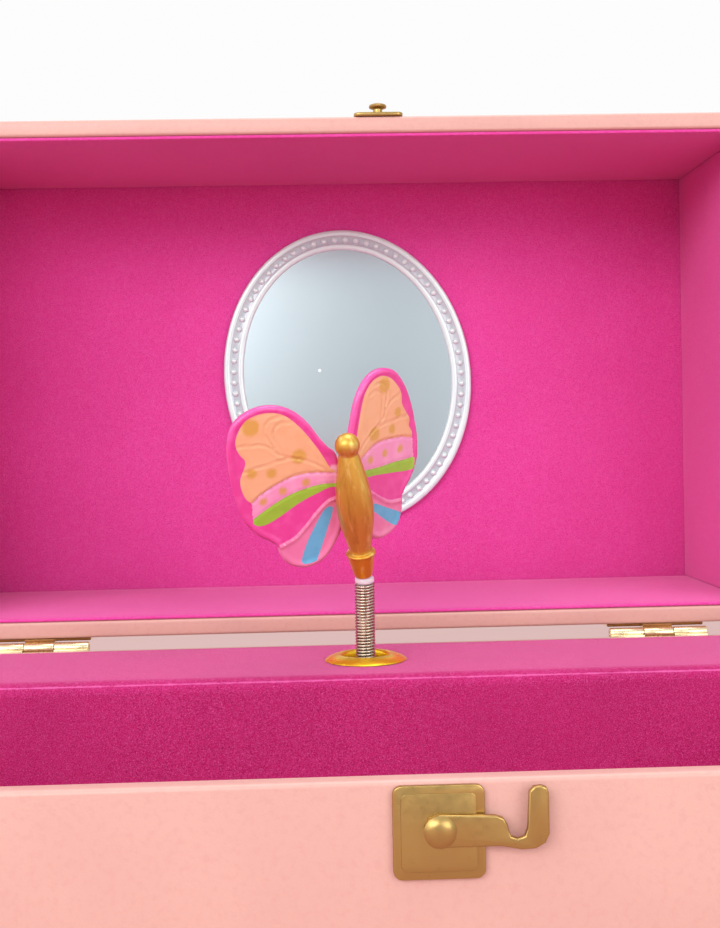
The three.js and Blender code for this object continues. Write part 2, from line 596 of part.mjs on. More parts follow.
// A crown wheel: its face teeth point forward, across the drive shaft's pinion.
function greatWheel() {
  const face = 41;
  const disc = cut(bar('y', 9.9, face, face + 1.3, [0, 0], 36), bar('y', 1.6, face - 1, face + 2, [0, 0], 16));
  const toothShape = outline([[-0.38, 0.3], [-0.17, -1], [0.17, -1], [0.38, 0.3]]);
  const teeth = [];
  for (let i = 0; i < FACE_TEETH; i++) {
    const tooth = alongZ(toothShape, FACE_R - 0.9, FACE_R + 0.9).translate(0, face, 0);
    teeth.push(tooth.rotateY(2 * Math.PI * (i + 0.5) / FACE_TEETH));
  }
  return join(disc, ...teeth);
}

function windingKey() {
  const bow = new THREE.Shape();
  bow.absellipse(7, 0, 6, 5.4, 0, 2 * Math.PI, false, 0);
  const eye = new THREE.Path();
  eye.absellipse(7.4, 0, 3, 2.6, 0, 2 * Math.PI, true, 0);
  bow.holes.push(eye);
  const right = alongY(bow, -0.7, 0.7, 10);
  const left = right.clone().rotateY(Math.PI);
  const wings = join(right, left, block([-3, 3], [-0.7, 0.7], [-2.2, 2.2]));
  const handle = wings.rotateX(Math.PI / 2).translate(0, 77.5, 0);
  const hub = bar('y', 2.7, 67, 77, [0, 0], 20);
  return cut(join(handle, hub), bar('y', 1.6, 66, 75.3, [0, 0], 16));
}

function governor() {
  const wheelLow = GEAR_LOW + GEAR_THICK + 0.8;
  const small = alongZ(outline(gearOutline(SMALL_TEETH, 1.35, 2.3, 0.36, 0.17, Math.PI / SMALL_TEETH)),
    GEAR_LOW, wheelLow + 0.3);
  const large = alongZ(outline(gearOutline(WORM_TEETH, 3.75, 4.65, 0.42, 0.2)), wheelLow, wheelLow + 1.2);
  const axle = bar('z', 0.6, 45.8, 54.8, [0, 0], 14);
  add('governor_wheel', brass, join(small, large, axle), [GOVERNOR_X, SPIN_Y, 0]);
  add('governor_worm', steel, join(worm(), bar('y', 0.5, 26.2, 49.2, [0, 0], 14)), [WORM_X, 0, WORM_Z]);

  const blade = join(block([-4.6, 4.6], [26.6, 30.6], [-0.3, 0.3]), bar('y', 1.2, 26.6, 30.6, [0, 0], 14));
  add('air_brake', plastic, cut(blade, bar('y', 0.54, 26, 31, [0, 0], 14)), [WORM_X, 0, WORM_Z]);
}

// A single right-hand thread: one cross-section turned steadily as it runs along the shaft.
function worm() {
  const sides = 16;
  const length = 5.6;
  const points = [];
  for (let i = 0; i < sides; i++) {
    const turn = i / sides;
    const away = Math.abs(turn - 0.5) * WORM_LEAD;
    const r = THREE.MathUtils.clamp(WORM_R + 0.35 - (away - 0.17) * 2, 0.75, WORM_R + 0.35);
    points.push([r * Math.cos(2 * Math.PI * turn), r * Math.sin(2 * Math.PI * turn)]);
  }
  const geometry = new THREE.ExtrudeGeometry(outline(points), { depth: length, steps: 28, bevelEnabled: false });
  const p = geometry.attributes.position;
  for (let i = 0; i < p.count; i++) {
    const along = p.getZ(i) - length / 2;
    const turn = 2 * Math.PI * along / WORM_LEAD;
    const x = p.getX(i) * Math.cos(turn) - p.getY(i) * Math.sin(turn);
    const y = p.getX(i) * Math.sin(turn) + p.getY(i) * Math.cos(turn);
    p.setXYZ(i, -x, SPIN_Y + along, y);
  }
  return geometry;
}

// ---- Coil spring and butterfly ------------------------------------------------------------------------------

// The coil bends forward on an arc. This places a point of the straight coil on it.
function bend(x, y, s) {
  const radius = COIL_LENGTH / COIL_LEAN;
  const angle = s / radius;
  return [x, y * Math.cos(angle) - radius * (1 - Math.cos(angle)), y * Math.sin(angle) + radius * Math.sin(angle)];
}

function coil() {
  const profile = [];
  const pitch = COIL_LENGTH / COIL_TURNS;
  for (let i = 0; i < COIL_TURNS; i++) {
    profile.push([COIL_R - COIL_WIRE * 0.25, pitch * i], [COIL_R, pitch * (i + 0.5)]);
  }
  const bore = COIL_R - COIL_WIRE;
  profile.push([COIL_R - COIL_WIRE * 0.25, COIL_LENGTH], [bore, COIL_LENGTH], [bore, 0], profile[0]);
  const geometry = turned(profile, 14);
  const p = geometry.attributes.position;
  for (let i = 0; i < p.count; i++) {
    p.setXYZ(i, ...bend(p.getX(i), p.getY(i), p.getZ(i)));
  }
  geometry.computeVertexNormals();
  add('coil_spring', steel, geometry, [SPIN_X, SPIN_Y, COIL_FOOT]);
}

// Outline of a wing, out from the body's axis and up it: the fore wing, the notch and the hind wing.
const FORE_WING = [
  [1.2, 24], [4.3, 29.6], [5.9, 33.2], [7.9, 35.9], [10.4, 38], [13.4, 39.2], [16.8, 39.5], [20.1, 38.6],
  [22.7, 36.2], [24.2, 32.9], [24.8, 29], [24.7, 24], [24.1, 18], [23.1, 13.8], [20.4, 9.8], [16.9, 6.8],
];
const HIND_WING = [[16.9, 6.8], [16.3, 3.9], [14.2, 1], [11, -0.1], [7.4, 0.8], [4.4, 3.8], [2, 8]];

function wing(side) {
  const curve = points => new THREE.SplineCurve(points.map(([x, y]) => new THREE.Vector2(x, y)));
  const points = [...curve(FORE_WING).getPoints(28).slice(0, -1), ...curve(HIND_WING).getPoints(14)];
  const plate = alongY(new THREE.Shape(points), 0, WING_THICK);
  plate.rotateZ(WING_SWEEP);
  if (side === 'left') plate.scale(-1, 1, 1);
  return plate.translate(0, WING_BACK, 0);
}

function bodyProfile(clear) {
  const points = [[0, -4 - clear], [2 + clear, -4 - clear], [3.1 + clear, 1.2], [3.25 + clear, 1.6]];
  points.push([3.1 + clear, 2], [2.3 + clear, 2.1 + clear]);
  const belly = new THREE.SplineCurve([[2.3, 2.1], [3.3, 6.5], [4.05, 12.5], [3.8, 17], [2.9, 22], [2.1, 25.2]]
    .map(([r, z]) => new THREE.Vector2(r, z)));
  for (const q of belly.getPoints(10).slice(1)) points.push([q.x + clear, q.y]);
  const head = 2.75;
  const headZ = 27.5;
  for (let i = 0; i <= 6; i++) {
    const angle = THREE.MathUtils.lerp(-0.6, Math.PI / 2, i / 6);
    points.push([i === 6 ? 0 : (head + clear) * Math.cos(angle), headZ + (head + clear) * Math.sin(angle)]);
  }
  return points;
}

function butterfly() {
  const [, topY, topZ] = bend(0, 0, COIL_LENGTH);
  const coilTop = new THREE.Group();
  coilTop.position.set(SPIN_X, SPIN_Y + topY, COIL_FOOT + topZ);
  coilTop.rotation.x = COIL_LEAN;
  model.add(coilTop);

  const plug = turned([[0, -2], [1.1, -2], [1.1, 0.1], [2.25, 0.15], [2.25, 1.2], [1.2, 1.25], [0, 1.25]], 16);
  coilTop.add(add('figure_plug', plastic, plug));

  const figure = new THREE.Group();
  figure.position.set(SPIN_X, SPIN_Y + topY, COIL_FOOT + topZ);
  figure.rotation.order = 'ZXY';
  figure.rotation.set(FIGURE_PITCH, -FIGURE_ROLL, FIGURE_TURN);
  figure.updateMatrix();
  const seat = new THREE.Vector3(0, 0, 1.55 + 4.35);
  figure.position.add(seat.applyEuler(figure.rotation));
  model.add(figure);

  figure.add(add('butterfly_body', goldPaint, turned(bodyProfile(0), 18)));
  const room = turned(bodyProfile(0.25), 18);
  const midline = block([-0.2, 0.2], [-10, 10], [-10, 60]);
  for (const side of ['left', 'right']) {
    figure.add(add(`${side}_wing`, pinkPaint, cut(wing(side), room, midline)));
  }
}

base();
compartment();
lid();
mirror();
hinge('left');
hinge('right');
clasp();
movementFrame();
driveTrain();
governor();
stopWire();
coil();
butterfly();

export default model;
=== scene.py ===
"""Looks for the wind-up music box: wrapped case, felts, beaded mirror, painted butterfly on its coil."""

import json
import math

import bmesh
import bpy
import numpy as np
from mathutils import Matrix, Vector, noise
from mathutils.geometry import delaunay_2d_cdt


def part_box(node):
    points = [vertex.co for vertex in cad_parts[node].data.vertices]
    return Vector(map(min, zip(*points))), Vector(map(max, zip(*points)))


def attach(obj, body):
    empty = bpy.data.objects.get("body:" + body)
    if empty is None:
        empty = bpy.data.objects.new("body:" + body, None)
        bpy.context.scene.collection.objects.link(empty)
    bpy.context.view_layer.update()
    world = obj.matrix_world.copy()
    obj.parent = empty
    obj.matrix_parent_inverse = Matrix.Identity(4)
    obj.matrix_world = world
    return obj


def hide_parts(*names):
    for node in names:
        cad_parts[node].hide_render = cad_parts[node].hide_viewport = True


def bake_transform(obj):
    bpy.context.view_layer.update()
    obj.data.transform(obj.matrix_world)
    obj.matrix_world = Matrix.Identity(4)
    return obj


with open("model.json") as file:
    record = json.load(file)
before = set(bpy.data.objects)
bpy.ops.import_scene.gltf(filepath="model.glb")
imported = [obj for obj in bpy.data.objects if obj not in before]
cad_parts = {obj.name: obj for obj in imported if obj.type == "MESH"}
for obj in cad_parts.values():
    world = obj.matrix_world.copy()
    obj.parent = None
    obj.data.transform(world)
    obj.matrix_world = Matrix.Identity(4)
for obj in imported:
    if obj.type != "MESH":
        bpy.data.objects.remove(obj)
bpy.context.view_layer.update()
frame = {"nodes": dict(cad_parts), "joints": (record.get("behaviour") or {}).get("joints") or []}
NODES = frame["nodes"]
MM = 0.001

# ---- Places, from the CAD frame ---------------------------------------------


def low(node):
    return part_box(node)[0]


def high(node):
    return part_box(node)[1]


def mid(node):
    a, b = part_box(node)
    return (a + b) / 2


def joint_place(name):
    return Vector(next(j for j in frame["joints"] if j["name"] == name)["pos_m"])


def in_mm(points):
    """Points given in millimetres, in metres."""
    return [tuple(c * MM for c in point) for point in points]


SPIN = joint_place("cylinder_spin")
HINGE = joint_place("lid_hinge")
COIL_TOP = joint_place("butterfly_spin")
COIL_FOOT = Vector((SPIN.x, SPIN.y, low("coil_spring").z))
COIL_LENGTH = 18 * MM
COIL_LEAN = math.radians(15)
COIL_TURNS = 25
COIL_RADIUS = 1.97 * MM
WIRE_RADIUS = 0.29 * MM

# The figure stands on the coil's leaning top, turned to its left, leaning forward and to one side.
FIGURE_TURN, FIGURE_LEAN, FIGURE_TILT = math.radians(32.2), math.radians(16.1), math.radians(-16.9)
FIGURE_RISE = 5.9 * MM
FIGURE = (
    Matrix.Translation(COIL_TOP)
    @ Matrix.Rotation(FIGURE_TURN, 4, "Z")
    @ Matrix.Rotation(FIGURE_LEAN, 4, "X")
    @ Matrix.Rotation(FIGURE_TILT, 4, "Y")
    @ Matrix.Translation((0, 0, FIGURE_RISE))
)
WING_SWEEP = math.radians(15.3)
WING_BACK = 2.5 * MM

WRAP_ROUND = 0.8 * MM
FELT_THICK = 0.8 * MM
FELT_BEND = 3.0 * MM
KEY_HOLE = 5 * MM
SPRING_HOLE = 6.2 * MM

MIRROR_WIDTH, MIRROR_HEIGHT = 71.5 * MM, 85.5 * MM
MIRROR_TILT = math.radians(6.5)
MIRROR_LEAN = 0.075
BEAD_PITCH = 3.1 * MM
BEAD_IN, BEAD_UP = 2.9 * MM, 1.54 * MM

HINGE_SHEET = 0.8 * MM
KNUCKLE_HALF = 3.6 * MM
KNUCKLE_GAP = 0.15 * MM
KNUCKLE_RADIUS, KNUCKLE_BORE, KNUCKLE_ROUND = 1.35 * MM, 0.7 * MM, 0.12 * MM
NAIL_OUT, NAIL_IN = 7.5 * MM, 4.2 * MM
LID_LEAF_SETBACK = 2 * MM

EYELET_RISE = 4.6 * MM
KEY_BOW_Y = 77.5 * MM

# ---- Materials --------------------------------------------------------------


def rgb(r, g, b):
    """A display colour, 0 to 255, as the linear colour the shader wants."""
    channels = [c / 255 for c in (r, g, b)]
    return tuple(c / 12.92 if c <= 0.04045 else ((c + 0.055) / 1.055) ** 2.4 for c in channels) + (1.0,)


def node(tree, kind, inputs=(), **settings):
    """A new shader node. inputs pairs each input with a value, or with the output to link to it."""
    made = tree.nodes.new(kind)
    for key, value in settings.items():
        setattr(made, key, value)
    for key, value in dict(inputs).items():
        if isinstance(value, bpy.types.NodeSocket):
            tree.links.new(value, made.inputs[key])
        else:
            made.inputs[key].default_value = value
    return made


class Paint:
    """A principled material, with short calls for the patterns and bumps added to it."""

    def __init__(self, name, color, roughness, metallic=0.0, **sockets):
        self.material = bpy.data.materials.new(name)
        self.material.use_nodes = True
        self.tree = self.material.node_tree
        self.shader = self.tree.nodes["Principled BSDF"]
        self.shader.inputs["Base Color"].default_value = rgb(*color)
        self.shader.inputs["Roughness"].default_value = roughness
        self.shader.inputs["Metallic"].default_value = metallic
        for key, value in sockets.items():
            self.shader.inputs[key.replace("_", " ")].default_value = value
        self.coordinates = self.node("ShaderNodeTexCoord", ()).outputs["Object"]
        self.color = rgb(*color)
        self.normal = None

    def node(self, kind, inputs, **settings):
        return node(self.tree, kind, inputs, **settings)

    def link(self, value, socket):
        self.tree.links.new(value, self.shader.inputs[socket])

    def stretched(self, scale):
        """The coordinates, with the pattern drawn out along an axis where its scale is small."""
        return self.node("ShaderNodeMapping", {"Vector": self.coordinates, "Scale": scale}).outputs["Vector"]

    def noise(self, size, detail=3.0, rough=0.5, stretch=None):
        """Cloudy noise with features of about the given size."""
        at = self.stretched(stretch) if stretch else self.coordinates
        inputs = {"Vector": at, "Scale": 1 / size, "Detail": detail, "Roughness": rough}
        return self.node("ShaderNodeTexNoise", inputs).outputs["Fac"]

    def grains(self, size):
        """Distance from the middle of the nearest grain."""
        inputs = {"Vector": self.coordinates, "Scale": 1 / size}
        return self.node("ShaderNodeTexVoronoi", inputs).outputs["Distance"]

    def axis(self, which):
        """The coordinate along X, Y or Z."""
        return self.node("ShaderNodeSeparateXYZ", {0: self.coordinates}).outputs[which]

    def math(self, operation, a, b):
        return self.node("ShaderNodeMath", {0: a, 1: b}, operation=operation).outputs[0]

    def ramp(self, value, start, end):
        """0 where value is on start's side, rising smoothly to 1 at end, which may be the lower one."""
        inputs = {"Value": value, "From Min": start, "From Max": end}
        return self.node("ShaderNodeMapRange", inputs, interpolation_type="SMOOTHSTEP").outputs["Result"]

    def tint(self, amount, color, strength):
        """Mixes color in over what is there, where amount is 1."""
        inputs = {"Factor": self.math("MULTIPLY", amount, strength), "A": self.color, "B": rgb(*color)}
        self.color = self.node("ShaderNodeMix", inputs, data_type="RGBA").outputs["Result"]
        self.link(self.color, "Base Color")

    def bump(self, height, depth, strength):
        """Adds relief of a given depth, over what is there."""
        inputs = {"Height": height, "Distance": depth, "Strength": strength}
        if self.normal is not None:
            inputs["Normal"] = self.normal
        self.normal = self.node("ShaderNodeBump", inputs).outputs["Normal"]
        self.link(self.normal, "Normal")

    def lean(self, offset):
        """Tips the whole surface's shading, by an offset to its normal in the object's own axes."""
        straight = self.coordinates.node.outputs["Normal"]
        tip = self.node("ShaderNodeVectorMath", {0: straight, 1: offset}, operation="ADD")
        turn = self.node("ShaderNodeVectorTransform", {0: tip.outputs[0]}, vector_type="NORMAL",
                         convert_from="OBJECT", convert_to="WORLD")
        self.link(turn.outputs[0], "Normal")

    def worn(self, value, rough_low, rough_high):
        """Roughness that wanders between two limits."""
        inputs = {"Value": value, "To Min": rough_low, "To Max": rough_high}
        self.link(self.node("ShaderNodeMapRange", inputs).outputs["Result"], "Roughness")


def felt_paint(name, deep, color, pale, mottle, fleck, bend_line=0.0):
    """Short-napped felt: matted fibres, pale flecks where they catch light, and a soft sheen.

    bend_line is the height of a pale line painted along the felt's bend, if there is one.
    """
    p = Paint(name, color, 0.95, Sheen_Weight=0.8, Sheen_Roughness=0.35, Sheen_Tint=rgb(255, 150, 205),
              Specular_IOR_Level=0.15)
    p.tint(p.ramp(p.noise(30 * MM, 2), 0.35, 0.75), deep, 0.25)
    p.tint(p.ramp(p.noise(1.3 * MM, 3, 0.7), 0.42, 0.64), pale, mottle)
    p.tint(p.ramp(p.noise(0.42 * MM, 3, 0.7, stretch=(1, 0.2, 1)), 0.48, 0.68), pale, fleck * 0.35)
    fibre = p.noise(0.26 * MM, 4, 0.7)
    p.tint(p.ramp(fibre, 0.52, 0.34), deep, 0.95)
    p.tint(p.ramp(p.noise(0.21 * MM, 2, 0.8), 0.53, 0.70), pale, fleck)
    if bend_line:
        # A ragged pale line at the height of bend_line.
        off = p.math("ABSOLUTE", p.math("SUBTRACT", p.axis("Z"), bend_line), 0)
        ragged = p.math("ADD", off, p.math("MULTIPLY", p.noise(2.5 * MM, 3), 0.4 * MM))
        p.tint(p.ramp(ragged, 0.42 * MM, 0.22 * MM), pale, 0.55)
    p.bump(fibre, 0.22 * MM, 0.8)
    p.bump(p.noise(0.2 * MM, 2), 0.08 * MM, 0.6)
    return p.material


def paper_paint():
    """Imitation-leather paper: satin coated, with a very fine pebble and faint stretching over the board."""
    p = Paint("wrapping_paper", (207, 157, 147), 0.42, Coat_Weight=0.15, Coat_Roughness=0.3,
              Specular_IOR_Level=0.45)
    p.tint(p.ramp(p.noise(22 * MM, 3), 0.35, 0.7), (214, 164, 153), 0.5)
    p.tint(p.ramp(p.noise(1.4 * MM, 3, 0.6), 0.45, 0.75), (196, 136, 131), 0.25)
    p.worn(p.noise(6 * MM, 4), 0.34, 0.5)
    p.bump(p.grains(0.42 * MM), 0.03 * MM, 0.55)
    p.bump(p.noise(9 * MM, 3), 0.25 * MM, 0.25)
    return p.material


def brass_paint(name, color, rough, dark=(120, 70, 25)):
    """Drawn brass, with brush lines across X and darker tarnish in patches."""
    p = Paint(name, color, rough, 1.0)
    p.tint(p.ramp(p.noise(2.5 * MM, 5, 0.6), 0.55, 0.8), dark, 0.25)
    p.worn(p.noise(1.6 * MM, 4), rough * 0.7, rough * 1.6)
    p.bump(p.noise(0.9 * MM, 3, 0.5, stretch=(1, 6, 6)), 0.01 * MM, 0.5)
    return p.material


def gilt_paint():
    """Bright lacquered gilding, deeper orange in patches."""
    p = Paint("gilt_eyelet", (238, 196, 44), 0.26, 0.7)
    p.tint(p.ramp(p.noise(4 * MM, 3), 0.5, 0.8), (222, 160, 30), 0.4)
    p.worn(p.noise(2.5 * MM, 3), 0.2, 0.32)
    p.bump(p.noise(3 * MM, 2), 0.03 * MM, 0.3)
    return p.material


def steel_paint():
    """Bright spring steel, a little browned."""
    rough = 0.26
    p = Paint("spring_steel", (206, 192, 174), rough, 1.0)
    p.tint(p.ramp(p.noise(1.6 * MM, 3), 0.52, 0.8), (130, 106, 88), 0.35)
    p.worn(p.noise(0.9 * MM, 3), rough * 0.7, rough * 1.4)
    p.bump(p.noise(0.5 * MM, 2), 0.006 * MM, 0.3)
    return p.material


def silver_paint(name, color):
    """Metallised plastic moulding."""
    p = Paint(name, color, 0.3, 0.12, Coat_Weight=0.6, Coat_Roughness=0.15)
    p.tint(p.ramp(p.noise(4 * MM, 4), 0.5, 0.8), (205, 212, 218), 0.3)
    p.worn(p.noise(1.5 * MM, 4), 0.24, 0.4)
    p.bump(p.noise(0.6 * MM, 3), 0.015 * MM, 0.35)
    return p.material


def mirror_paint():
    """A hazy plastic mirror that reflects as if it leaned back a little, with a few specks of dust."""
    p = Paint("silvered_glass", (174, 184, 188), 0.29, 1.0)
    p.tint(p.ramp(p.grains(14 * MM), 0.045, 0.03), (255, 255, 255), 0.7)
    p.worn(p.noise(7 * MM, 4, 0.6), 0.275, 0.305)
    p.lean((0, 0, MIRROR_LEAN))
    return p.material


def gold_paint():
    """Brushed-on gold: orange in the base collar, paler where it is rubbed, with strokes along the body."""
    p = Paint("gold_figure_paint", (216, 170, 66), 0.34, 0.6, Coat_Weight=0.35, Coat_Roughness=0.18)
    p.tint(p.ramp(p.axis("Z"), 2.3 * MM, 1.2 * MM), (224, 154, 32), 0.8)
    p.tint(p.ramp(p.noise(1.1 * MM, 4, 0.6, stretch=(1, 1, 0.16)), 0.5, 0.7), (240, 214, 124), 0.7)
    p.tint(p.ramp(p.noise(1.6 * MM, 3, 0.6, stretch=(1, 1, 0.2)), 0.5, 0.75), (180, 126, 34), 0.5)
    p.worn(p.noise(1.2 * MM, 4), 0.26, 0.46)
    p.bump(p.noise(0.5 * MM, 3, 0.5, stretch=(1, 1, 0.2)), 0.03 * MM, 0.5)
    return p.material


def enamel(name, color, second, dots=(), side=1, spot=(218, 166, 70)):
    """Hand-painted plastic, a little uneven, with soft-edged spots at (out, up, radius) in millimetres."""
    p = Paint(name, color, 0.34, Coat_Weight=0.45, Coat_Roughness=0.16)
    p.tint(p.ramp(p.noise(3.2 * MM, 4), 0.42, 0.72), second, 0.5)
    for out, up, radius in dots:
        inputs = {0: p.stretched((1, 0, 1)), 1: (side * out * MM, 0, up * MM)}
        gap = p.node("ShaderNodeVectorMath", inputs, operation="DISTANCE")
        ragged = p.math("ADD", gap.outputs["Value"], p.math("MULTIPLY", p.noise(0.9 * MM, 3), 0.7 * MM))
        p.tint(p.ramp(ragged, (radius + 0.95) * MM, (radius - 0.05) * MM), spot, 0.85)
    p.worn(p.noise(1.5 * MM, 4), 0.26, 0.46)
    p.bump(p.noise(0.7 * MM, 4), 0.03 * MM, 0.55)
    return p.material


def plastic_paint():
    """Pale moulded plastic that lets a little light in."""
    p = Paint("pale_plug", (222, 206, 212), 0.45, Subsurface_Weight=0.25, Subsurface_Scale=1 * MM)
    p.tint(p.ramp(p.noise(1 * MM, 3), 0.5, 0.8), (214, 190, 198), 0.5)
    p.bump(p.noise(0.4 * MM, 3), 0.02 * MM, 0.4)
    return p.material


def board_paint():
    """Pressed fibreboard."""
    p = Paint("fibreboard", (172, 140, 104), 0.85)
    p.tint(p.ramp(p.noise(0.8 * MM, 4, 0.7), 0.4, 0.7), (130, 98, 66), 0.6)
    p.bump(p.noise(0.5 * MM, 4), 0.05 * MM, 0.6)
    return p.material


def zinc_paint():
    """Cast zinc, dull and slightly pitted."""
    p = Paint("zinc_casting", (168, 170, 174), 0.45, 1.0)
    p.tint(p.ramp(p.noise(1.5 * MM, 4), 0.45, 0.75), (126, 128, 134), 0.5)
    p.bump(p.noise(0.5 * MM, 4), 0.03 * MM, 0.5)
    return p.material


FELT = felt_paint("pink_felt", (206, 50, 134), (230, 74, 164), (246, 146, 212), 0.08, 0.3)
# The compartment's felt is the same pink felt as the linings, given darker colours as painted shade on the
# compartment's front.
CARD_FELT_SHADED = felt_paint("compartment_felt", (136, 12, 68), (184, 30, 102), (232, 112, 182), 0.05, 0.55,
                       bend_line=high("compartment_felt").z - 0.95 * MM)
PAPER = paper_paint()
BRASS = brass_paint("hinge_brass", (240, 224, 180), 0.24)
AGED_BRASS = brass_paint("aged_brass", (178, 146, 88), 0.28, (96, 66, 30))
# Dark brass for the lid leaf's front edge: painted shade on an edge that sits in shadow under the lid.
LEAF_BRASS_SHADE = brass_paint("leaf_brass", (150, 104, 62), 0.35, (84, 44, 20))
CLOCK_BRASS = brass_paint("movement_brass", (206, 172, 96), 0.28)
GILT = gilt_paint()
STEEL = steel_paint()
SILVER = silver_paint("silver_moulding", (222, 248, 244))
# Darker silver for the channel between the raised rims: painted shade in the recess.
SILVER_GROOVE_SHADE = silver_paint("silver_groove_painted_shade", (186, 200, 205))
MIRROR = mirror_paint()
GOLD = gold_paint()
PLUG = plastic_paint()
BOARD = board_paint()
ZINC = zinc_paint()

# ---- Mesh helpers -----------------------------------------------------------


def added(name, data):
    """A new object in the scene."""
    obj = bpy.data.objects.new(name, data)
    bpy.context.scene.collection.objects.link(obj)
    return obj


def smooth_by_angle(mesh, degrees=35):
    """Smooth shading, with creases where faces meet at more than an angle."""
    mesh.shade_smooth()
    mesh.set_sharp_from_angle(angle=math.radians(degrees))


def piece(name, verts, faces, materials, body, replaced=(), slot=None, indices=None, matrix=None, angle=35):
    """An object from a mesh, riding on a body in place of CAD nodes. indices picks each face's material."""
    mesh = bpy.data.meshes.new(name)
    mesh.from_pydata([tuple(v) for v in verts], [], faces)
    bm = bmesh.new()
    bm.from_mesh(mesh)
    if indices is not None:
        for face, index in zip(bm.faces, indices):
            face.material_index = index
    bmesh.ops.remove_doubles(bm, verts=bm.verts, dist=1e-7)
    bmesh.ops.recalc_face_normals(bm, faces=bm.faces)
    bm.to_mesh(mesh)
    bm.free()
    smooth_by_angle(mesh, angle)
    for material in materials if isinstance(materials, (list, tuple)) else [materials]:
        mesh.materials.append(material)
    obj = added(name, mesh)
    if matrix is not None:
        obj.matrix_world = matrix
    if body:
        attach(obj, body)
    if replaced:
        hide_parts(*replaced)
    return obj


def merged(*parts):
    """Joins (verts, faces) pairs into one."""
    verts, faces = [], []
    for v, f in parts:
        faces += [tuple(i + len(verts) for i in face) for face in f]
        verts += [Vector(p) for p in v]
    return verts, faces


def placed(part, matrix):
    return [matrix @ Vector(v) for v in part[0]], part[1]


def from_bmesh(bm):
    """Turns a bmesh into (verts, faces), and frees it."""
    bm.verts.index_update()
    part = [v.co.copy() for v in bm.verts], [tuple(v.index for v in f.verts) for f in bm.faces]
    bm.free()
    return part


def soft_box(lo, hi, radius):
    """A box with rounded edges."""
    bm = bmesh.new()
    bmesh.ops.create_cube(bm, size=1.0)
    size = Vector(hi) - Vector(lo)
    for v in bm.verts:
        v.co = Vector(lo) + Vector([(c + 0.5) * s for c, s in zip(v.co, size)])
    bmesh.ops.bevel(bm, geom=bm.edges[:], offset=radius, segments=3, profile=0.5, affect="EDGES")
    return from_bmesh(bm)


def skin(rings, count, around=True, across=True):
    """Quads between rings of count points. around joins last ring to first, across closes each ring."""
    return [(i * count + k, i * count + (k + 1) % count, (i + 1) % rings * count + (k + 1) % count,
             (i + 1) % rings * count + k)
            for i in range(rings if around else rings - 1) for k in range(count if across else count - 1)]


def turned(profile, sides, closed=False):
    """A profile of (radius, height) turned about Z. An end off the axis stays open unless closed is set."""
    angles = [2 * math.pi * i / sides for i in range(sides)]
    verts = [Vector((r * math.cos(a), r * math.sin(a), z)) for a in angles for r, z in profile]
    faces = []
    for a, b, c, d in skin(sides, len(profile), across=closed):
        if profile[a % len(profile)][0] < 1e-9:
            faces.append((a, b, c))
        elif profile[b % len(profile)][0] < 1e-9:
            faces.append((a, b, d))
        else:
            faces.append((a, b, c, d))
    return verts, faces


def swept(points, radius, sides=10, closed=False, section=None):
    """A tube along points. section is a list of (side, up) offsets in place of a circle."""
    points = [Vector(p) for p in points]
    count = len(points)
    if section is None:
        turns = [2 * math.pi * k / sides for k in range(sides)]
        section = [(radius * math.cos(a), radius * math.sin(a)) for a in turns]
    tangents = []
    for i in range(count):
        a = points[i - 1] if i or closed else points[0]
        b = points[(i + 1) % count] if i < count - 1 or closed else points[-1]
        tangents.append((b - a).normalized())
    side = tangents[0].orthogonal().normalized()
    verts = []
    for p, t in zip(points, tangents):
        side = (side - t * side.dot(t)).normalized()
        up = t.cross(side)
        verts += [p + side * u + up * v for u, v in section]
    faces = skin(count, len(section), closed)
    if not closed:
        faces += ends(count, len(section))
    return verts, faces


def ends(rings, count):
    """Caps on the first and last rings."""
    return [tuple(range(count))[::-1], tuple((rings - 1) * count + k for k in range(count))]


def slab(outline, thickness, radius, segments=2):
    """A flat outline in XY, given thickness along Z, with its sharp rims rounded."""
    bm = bmesh.new()
    face = bm.faces.new([bm.verts.new((x, y, 0)) for x, y in outline])
    made = bmesh.ops.extrude_face_region(bm, geom=[face])
    for v in made["geom"]:
        if isinstance(v, bmesh.types.BMVert):
            v.co.z = thickness
    bmesh.ops.recalc_face_normals(bm, faces=bm.faces)
    rims = [e for e in bm.edges if abs(e.verts[0].co.z - e.verts[1].co.z) < 1e-9]
    bmesh.ops.bevel(bm, geom=rims, offset=radius, segments=segments, profile=0.5, affect="EDGES")
    return from_bmesh(bm)


def spline(a, b, c, d, steps):
    """Points of a smooth curve from b up to c, which passes a before and d after."""
    slope, bow, twist = c - a, 2 * a - 5 * b + 4 * c - d, 3 * b - a - 3 * c + d
    return [0.5 * (2 * b + slope * t + bow * t ** 2 + twist * t ** 3) for t in np.arange(steps) / steps]


def rounded(points, steps):
    """A smooth closed curve through points."""
    p = [Vector(point) for point in points]
    runs = (spline(*(p[(i + k - 1) % len(p)] for k in range(4)), steps) for i in range(len(p)))
    return [tuple(v) for run in runs for v in run]


def flowing(points, steps):
    """A smooth open curve through points."""
    p = [Vector(point) for point in points]
    p = [p[0] * 2 - p[1]] + p + [p[-1] * 2 - p[-2]]
    runs = (spline(*p[i - 1:i + 3], steps) for i in range(1, len(p) - 2))
    return [tuple(v) for run in runs for v in run] + [tuple(p[-2])]


def carved(obj, *tools):
    """Cuts tool objects out of obj, and removes them."""
    for tool in tools:
        modifier = obj.modifiers.new("cut", "BOOLEAN")
        modifier.operation = "DIFFERENCE"
        modifier.object = tool
        modifier.solver = "EXACT"
    graph = bpy.context.evaluated_depsgraph_get()
    mesh = bpy.data.meshes.new_from_object(obj.evaluated_get(graph))
    obj.modifiers.clear()
    old = obj.data
    obj.data = mesh
    bpy.data.meshes.remove(old)
    for tool in tools:
        bpy.data.objects.remove(tool)
    smooth_by_angle(obj.data)
    return obj


